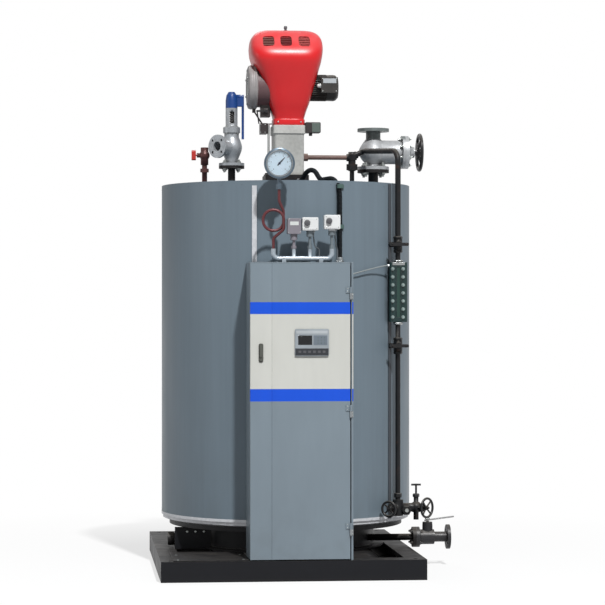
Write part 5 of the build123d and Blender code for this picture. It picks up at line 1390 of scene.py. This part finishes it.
BOLT_ROWS = 7
BOLT_PITCH = 0.0402
BOLT_SPREAD = 0.052
BOLT_SHIFT = (-0.0035, -0.0045)
STRIP_EDGES = (0.0085, 0.0125)


def level_gauge_details():
    """The level gauge's bolts and strips, its end caps and the nuts of its cocks."""
    body = Place("level_gauge_body")
    front, middle = body.low.y, body.middle

    def upright(into, across, low, high):
        into.hexagon(across, (middle.x, middle.y, low), (middle.x, middle.y, high))

    bolts = Fixings("level_gauge_bolts", bright_fastener)
    bolts.nuts((middle.x + BOLT_SHIFT[0], front, middle.z + BOLT_SHIFT[1]), FRONT, 0.014, 2, BOLT_ROWS,
               BOLT_SPREAD, BOLT_PITCH)
    bolts.fitted("gauge_green")
    glass = Place("level_gauge_glass")
    strips = Shape()
    for side in (-1, 1):
        left, right = sorted(glass.middle.x + side * edge for edge in STRIP_EDGES)
        strips.block((left, front - 0.002, glass.low.z - 0.004), (right, front + 0.004, glass.high.z + 0.004))
    strips.piece("level_gauge_strips", finishes["gauge_green"], "boiler", "gauge_green", ease=0.0006)
    caps = Shape().block((middle.x - 0.031, front - 0.0016, body.high.z - 0.015),
                         (middle.x + 0.031, front + 0.001, body.high.z - 0.001))
    upright(caps, 0.046, body.high.z, body.high.z + 0.012)
    upright(caps, 0.044, body.low.z - 0.014, body.low.z)
    caps.piece("level_gauge_caps", cap_steel, "boiler", "gauge_green", ease=0.0008)
    nuts = Shape()
    for name in ("upper_cock_lever", "lower_cock_lever"):
        lever = Place(name)
        level = lever.middle.z
        upright(nuts, 0.040, level + 0.026, level + 0.042)
        upright(nuts, 0.040, level - 0.042, level - 0.026)
        nuts.hexagon(0.034, (middle.x, lever.low.y + 0.024, level), (middle.x, lever.low.y + 0.036, level))
        for end in (lever.low.x + 0.014, lever.high.x - 0.014):
            nuts.turned([(0, 0), (0.005, 0), (0.004, 0.002), (0, 0.003)],
                        facing((end, lever.low.y, level), FRONT), 16)
    foot = Place("gauge_cocks").low.z
    upright(nuts, 0.034, foot + 0.010, foot + 0.034)
    nuts.piece("gauge_cock_nuts", finishes["pipe_black"], "boiler", "pipe_black", ease=0.0008)


LEAD_SPOTS = ((0.2495, -0.600, 1.478), (0.300, -0.585, 1.492), (0.380, -0.540, 1.513),
              (0.450, -0.500, 1.528), (0.473, -0.485, 1.530))
LEAD_RADIUS = 0.003


def sensing_lead():
    """The thin stiff line from the cabinet's side to the level gauge, with its two nuts."""
    line = Shape().tube(list(smoothed(LEAD_SPOTS, 6)), LEAD_RADIUS, 10)
    line.piece("level_sensing_line", lead_grey, "boiler", "sensing_steel")
    start, end = Vector(LEAD_SPOTS[0]), Vector(LEAD_SPOTS[-1])
    nuts = Shape().hexagon(0.013, start - 0.001 * RIGHT, start + 0.009 * RIGHT)
    nuts.hexagon(0.013, end - 0.008 * RIGHT, end + 0.002 * RIGHT)
    nuts.piece("level_sensing_nuts", finishes["hinge_steel"], "boiler", "sensing_steel", ease=0.0004)


# Nuts on the flanges, and small parts of the valves

SAFETY_PLATE = 0.014
STEAM_PLATE = 0.016
STEAM_FLANGE = 0.0825
BLOW_PLATE = 0.018
BONNET_COVER = ((0, 0.030), (0.0262, 0.030), (0.0262, 0.060), (0.0250, 0.0765), (0.0090, 0.0765),
                (0.0090, 0.0760), (0, 0.0760))


def flange_fixings():
    """The studs of the valves' flanges, the nuts round their stems and the blowdown valve's cover."""
    quarter = math.radians(45)
    zinc = Fixings("valve_studs", fastener)
    bonnet = Place("safety_bonnet")
    safety_x = bonnet.middle.x
    joint = Place("safety_body").low.z
    zinc.studs((safety_x, 0, joint + SAFETY_PLATE), UP, 0.050, 4, 0.019, quarter, grip=2 * SAFETY_PLATE)
    zinc.studs((safety_x, 0, bonnet.low.z + SAFETY_PLATE), UP, 0.0375, 4, 0.010, quarter,
               grip=2 * SAFETY_PLATE)
    steam = Place("steam_valve_body")
    cover = Place("steam_bonnet")
    steam_x, steam_y, level = steam.low.x + STEAM_FLANGE, cover.middle.y, cover.middle.z
    zinc.studs((steam_x, steam_y, steam.low.z + STEAM_PLATE), UP, 0.0625, 4, 0.024, quarter,
               grip=2 * STEAM_PLATE)
    zinc.studs((cover.low.x + 0.018, steam_y, level), RIGHT, 0.0735, 8, 0.016, quarter / 2, grip=0.034)
    zinc.fitted("valve_silver")
    painted = Fixings("flange_studs", dark_fastener)
    painted.nuts((0, 0, Place("burner_flange").high.z), UP, 0.022, 2, 2, 0.186, 0.186)
    valve = Place("blowdown_valve")
    blow_y, blow_z = valve.middle.y, valve.low.z + valve.size.y / 2
    painted.studs((valve.low.x + BLOW_PLATE, blow_y, blow_z), RIGHT, 0.040, 4, 0.016, quarter,
                  grip=2 * BLOW_PLATE)
    painted.fitted("pipe_black")
    trims = Shape()
    wheel = Place("steam_handwheel")
    trims.hexagon(0.024, (wheel.high.x - 0.070, steam_y, level), (wheel.high.x - 0.052, steam_y, level))
    trims.hexagon(0.042, (cover.high.x - 0.016, steam_y, level), (cover.high.x - 0.002, steam_y, level))
    lever = Place("blowdown_lever")
    stem_x = lever.low.x + 0.016
    trims.hexagon(0.022, (stem_x, blow_y, lever.low.z + 0.029), (stem_x, blow_y, lever.low.z + 0.036))
    trims.hexagon(0.028, (safety_x, 0, joint + 0.118), (safety_x, 0, joint + 0.122))
    trims.piece("valve_gland_nuts", fastener, "boiler", "valve_silver", ease=0.0006)
    block = Shape().turned(BONNET_COVER, Matrix.Translation((stem_x, blow_y, blow_z)), 40)
    block.piece("blowdown_bonnet_cover", dark_fastener, "boiler", "pipe_black", ease=0.0008)


def safety_details():
    """The boss of the safety valve's lever and the spring in its bonnet."""
    bonnet = Place("safety_bonnet")
    middle, foot, height = bonnet.middle.x, bonnet.low.z, bonnet.size.z
    arm = Place("safety_lever")
    boss = Shape().block((middle + 0.020, arm.low.y + 0.001, arm.high.z - 0.062),
                         (arm.high.x, arm.high.y - 0.001, arm.high.z - 0.004))
    boss.piece("safety_lever_boss", finishes["cap_blue"], "boiler", "cap_blue", ease=0.003)
    spring = coil_spring.grown(fastener, Turns=6.0, Radius=0.019, Height=height * 0.62, Wire=0.0032)
    coil = Shape().take(spring, Matrix.Translation((middle, 0, foot + 0.26 * height)))
    coil.own = False
    coil.piece("safety_spring", dark_fastener, "boiler", "valve_silver")


def drain_details():
    """The plug on the drain manifold, its pale face and the nut of the test cock."""
    handle = Place("test_cock_handle")
    start = Vector((Place("level_gauge_body").middle.x + 0.040, Place("drain_manifold").low.y + 0.055,
                    handle.low.z - 0.060))
    end = start + 0.034 * FRONT
    plug = Shape().hexagon(0.046, start, end)
    plug.turned([(0, 0), (0.013, 0), (0.012, 0.006), (0, 0.008)], facing(end, FRONT), 24)
    plug.piece("drain_plug", finishes["pipe_black"], "boiler", "pipe_black", ease=0.001)
    light = Shape().turned([(0, 0), (0.010, 0), (0.009, 0.002), (0, 0.003)],
                           facing(end + 0.007 * FRONT, FRONT), 24)
    light.piece("drain_plug_face", fastener, "boiler", "pipe_black")
    seat = Vector((handle.middle.x, handle.middle.y, handle.low.z))
    nut = Shape().hexagon(0.030, seat + 0.002 * UP, seat + 0.020 * UP)
    nut.piece("test_cock_nut", dark_fastener, "boiler", "pipe_black", ease=0.0006)


# Rivets, screws, the small bracket under the jacket and the skirt's weld beads

RIVET_COUNT = 36
BAND_RISE = 0.013
BRACKET_LEFT, BRACKET_RIGHT = -0.585, -0.400
BRACKET_FRONT, BRACKET_BACK = -0.250, -0.242
BRACKET_SCREWS = (-0.480, 0.042)
BEAD_RADIUS = 0.0035
BEAD_INSET = 0.0515


def sheet_fixings():
    """The jacket's rivets and foot band, the deck's screws, the bracket and the weld beads."""
    jacket = Place("jacket_shell")
    radius, foot = jacket.size.x / 2, jacket.low.z
    rivets = Fixings("jacket_rivets", finishes["jacket_sheet"])
    for level in (foot + 0.024, jacket.high.z - 0.012):
        rivets.around(level, radius, RIVET_COUNT, 0.0030, 0.0015, math.radians(5))
    rivets.fitted("galvanised_trim")
    band = Shape().turned([(radius - 0.003, -0.001), (radius + 0.0012, -0.001), (radius + 0.0012, BAND_RISE),
                           (radius - 0.003, BAND_RISE)], Matrix.Translation((0, 0, foot)), 160, loop=True)
    band.piece("jacket_foot_band", finishes["galvanised_trim"], "boiler", "galvanised_trim")
    deck = Place("front_deck_plate")
    screws = Fixings("deck_screws", fastener)
    screws.heads((deck.middle.x, deck.low.y + 0.130, deck.high.z), UP, 0.007, 0.003, 2, 2,
                 deck.size.x - 0.05, 0.220)
    under = Place("bottom_ring").low.z
    bracket = Shape().block((BRACKET_LEFT, BRACKET_FRONT, Place("base_frame").high.z),
                            (BRACKET_RIGHT, BRACKET_BACK, under))
    bracket.piece("side_bracket", finishes["base_paint"], "boiler", "base_paint", ease=0.0008)
    middle, pitch = BRACKET_SCREWS
    screws.heads((middle, BRACKET_FRONT, under - 0.024), FRONT, 0.0070, 0.005, 3, 1, pitch)
    screws.fitted("base_paint")
    skirt = Place("support_skirt")
    beads = Shape()
    for level in (skirt.low.z + 0.0085, skirt.high.z - 0.001):
        beads.hoop(skirt.size.x / 2 - BEAD_INSET, BEAD_RADIUS, Matrix.Translation((0, 0, level)), 128, 8)
    beads.piece("skirt_weld_beads", finishes["base_paint"], "boiler", "base_paint")


door_with_controller()
burner_hood()
fan_motor()
air_intake()
damper_linkage()
conduit()
dial_gauge()
pressure_controller_details()
controller_details()
cabinet_details()
switchgear_details()
level_gauge_details()
sensing_lead()
flange_fixings()
safety_details()
drain_details()
sheet_fixings()


# Floor, light and camera

FLOOR_SIZE = 60.0
FADE_START, FADE_END = 1.2, 3.2
FADE_LEVEL = 0.68
FLOOR_SEEN = shade(244, 244, 244)
FLOOR_BOUNCE = shade(178, 178, 180)


def floor():
    """A wide pale floor that fades into the white background round the boiler."""
    data = bpy.data.meshes.new("floor")
    half = FLOOR_SIZE / 2
    corners = [(-half, -half, 0), (half, -half, 0), (half, half, 0), (-half, half, 0)]
    data.from_pydata(corners, [], [(0, 1, 2, 3)])
    made = bpy.data.objects.new("floor", data)
    bpy.context.scene.collection.objects.link(made)
    material = bpy.data.materials.new("pale floor")
    material.use_nodes = True
    wiring = Wiring(material.node_tree)
    material.node_tree.nodes.clear()
    seen = seen_share(wiring)
    colour = wiring.out("ShaderNodeMix", {0: seen, 6: FLOOR_BOUNCE, 7: FLOOR_SEEN}, output=2,
                        data_type="RGBA")
    lit = wiring.out("ShaderNodeBsdfDiffuse", {"Color": colour})
    plain = wiring.out("ShaderNodeEmission", {"Color": (1, 1, 1, 1), "Strength": 1.0})
    spot = wiring.out("ShaderNodeTexCoord", output=3)
    distance = wiring.out("ShaderNodeVectorMath", {0: spot}, output=1, operation="LENGTH")
    faded = wiring.out("ShaderNodeMapRange", {"Value": distance, "From Min": FADE_START, "From Max": FADE_END,
                                              "To Min": FADE_LEVEL, "To Max": 1.0})
    share = wiring.out("ShaderNodeMath", {0: seen, 1: faded}, operation="MULTIPLY")
    mixed = wiring.out("ShaderNodeMixShader", {0: share, 1: lit, 2: plain})
    wiring.add("ShaderNodeOutputMaterial", {"Surface": mixed})
    data.materials.append(material)


def seen_share(wiring):
    """1 for rays that show the background: from the camera, in a reflection or through glass."""
    path = wiring.add("ShaderNodeLightPath")
    share = path.outputs["Is Camera Ray"]
    for other in ("Is Glossy Ray", "Is Transmission Ray"):
        share = wiring.out("ShaderNodeMath", {0: share, 1: path.outputs[other]}, operation="MAXIMUM")
    return share


SKY_LEVEL = 0.20
SKY_REFLECTED = 0.7


def sky():
    """White to the camera, dim as a light and brighter again in reflections."""
    world = bpy.data.worlds.new("studio")
    bpy.context.scene.world = world
    world.use_nodes = True
    wiring = Wiring(world.node_tree)
    world.node_tree.nodes.clear()
    path = wiring.add("ShaderNodeLightPath")
    direct, through = path.outputs["Is Camera Ray"], path.outputs["Is Transmission Ray"]
    seen = wiring.out("ShaderNodeMath", {0: direct, 1: through}, operation="MAXIMUM")
    mirrored = wiring.out("ShaderNodeMapRange", {"Value": path.outputs["Is Glossy Ray"], "To Min": SKY_LEVEL,
                                                 "To Max": SKY_REFLECTED})
    strength = wiring.out("ShaderNodeMapRange", {"Value": seen, "To Min": mirrored, "To Max": 1.0})
    background = wiring.out("ShaderNodeBackground", {"Color": (1, 1, 1, 1), "Strength": strength})
    wiring.add("ShaderNodeOutputWorld", {"Surface": background})


# Name, power, size and spot of each lamp, and what they all aim at
LAMPS = (("key light", 4600.0, 0.8, (2.4, -13.0, 17.0)),
         ("left fill light", 45.0, 3.0, (-8.0, -1.0, 3.0)),
         ("right fill light", 8.0, 3.0, (8.0, -1.0, 3.0)),
         ("back fill light", 140.0, 4.0, (-2.0, 8.0, 9.5)))
LAMP_TARGET = (0, 0, 1.3)


def lamp(name, power, size, spot):
    """An area lamp at a spot, aimed at the boiler's middle."""
    data = bpy.data.lights.new(name, "AREA")
    data.energy = power
    data.size = size
    made = bpy.data.objects.new(name, data)
    made.location = spot
    aim = Vector(LAMP_TARGET) - Vector(spot)
    made.rotation_euler = aim.to_track_quat("-Z", "Y").to_euler()
    bpy.context.scene.collection.objects.link(made)


# The photograph's width, the jacket's axis, the horizon and the focal length, all in pixels
PHOTO_WIDTH = 605
AXIS_PIXEL = 285.5
HORIZON_PIXEL = 306.0
FOCAL_PIXELS = 2316.0
CAMERA_SPOT = (-1.129, -11.947, 1.328)


def camera():
    """The camera, where the photograph was taken from and with the same view."""
    data = bpy.data.cameras.new("camera")
    data.sensor_width = 36.0
    data.lens = FOCAL_PIXELS * data.sensor_width / PHOTO_WIDTH
    data.shift_x = (PHOTO_WIDTH / 2 - AXIS_PIXEL) / PHOTO_WIDTH
    data.shift_y = (HORIZON_PIXEL - PHOTO_WIDTH / 2) / PHOTO_WIDTH
    data.clip_end = 200.0
    made = bpy.data.objects.new("camera", data)
    made.location = CAMERA_SPOT
    aim = Vector((-CAMERA_SPOT[0], -CAMERA_SPOT[1], 0))
    made.rotation_euler = aim.to_track_quat("-Z", "Y").to_euler()
    bpy.context.scene.collection.objects.link(made)
    bpy.context.scene.camera = made


floor()
sky()
for lamp_data in LAMPS:
    lamp(*lamp_data)
camera()
bpy.context.scene.view_settings.view_transform = "Standard"
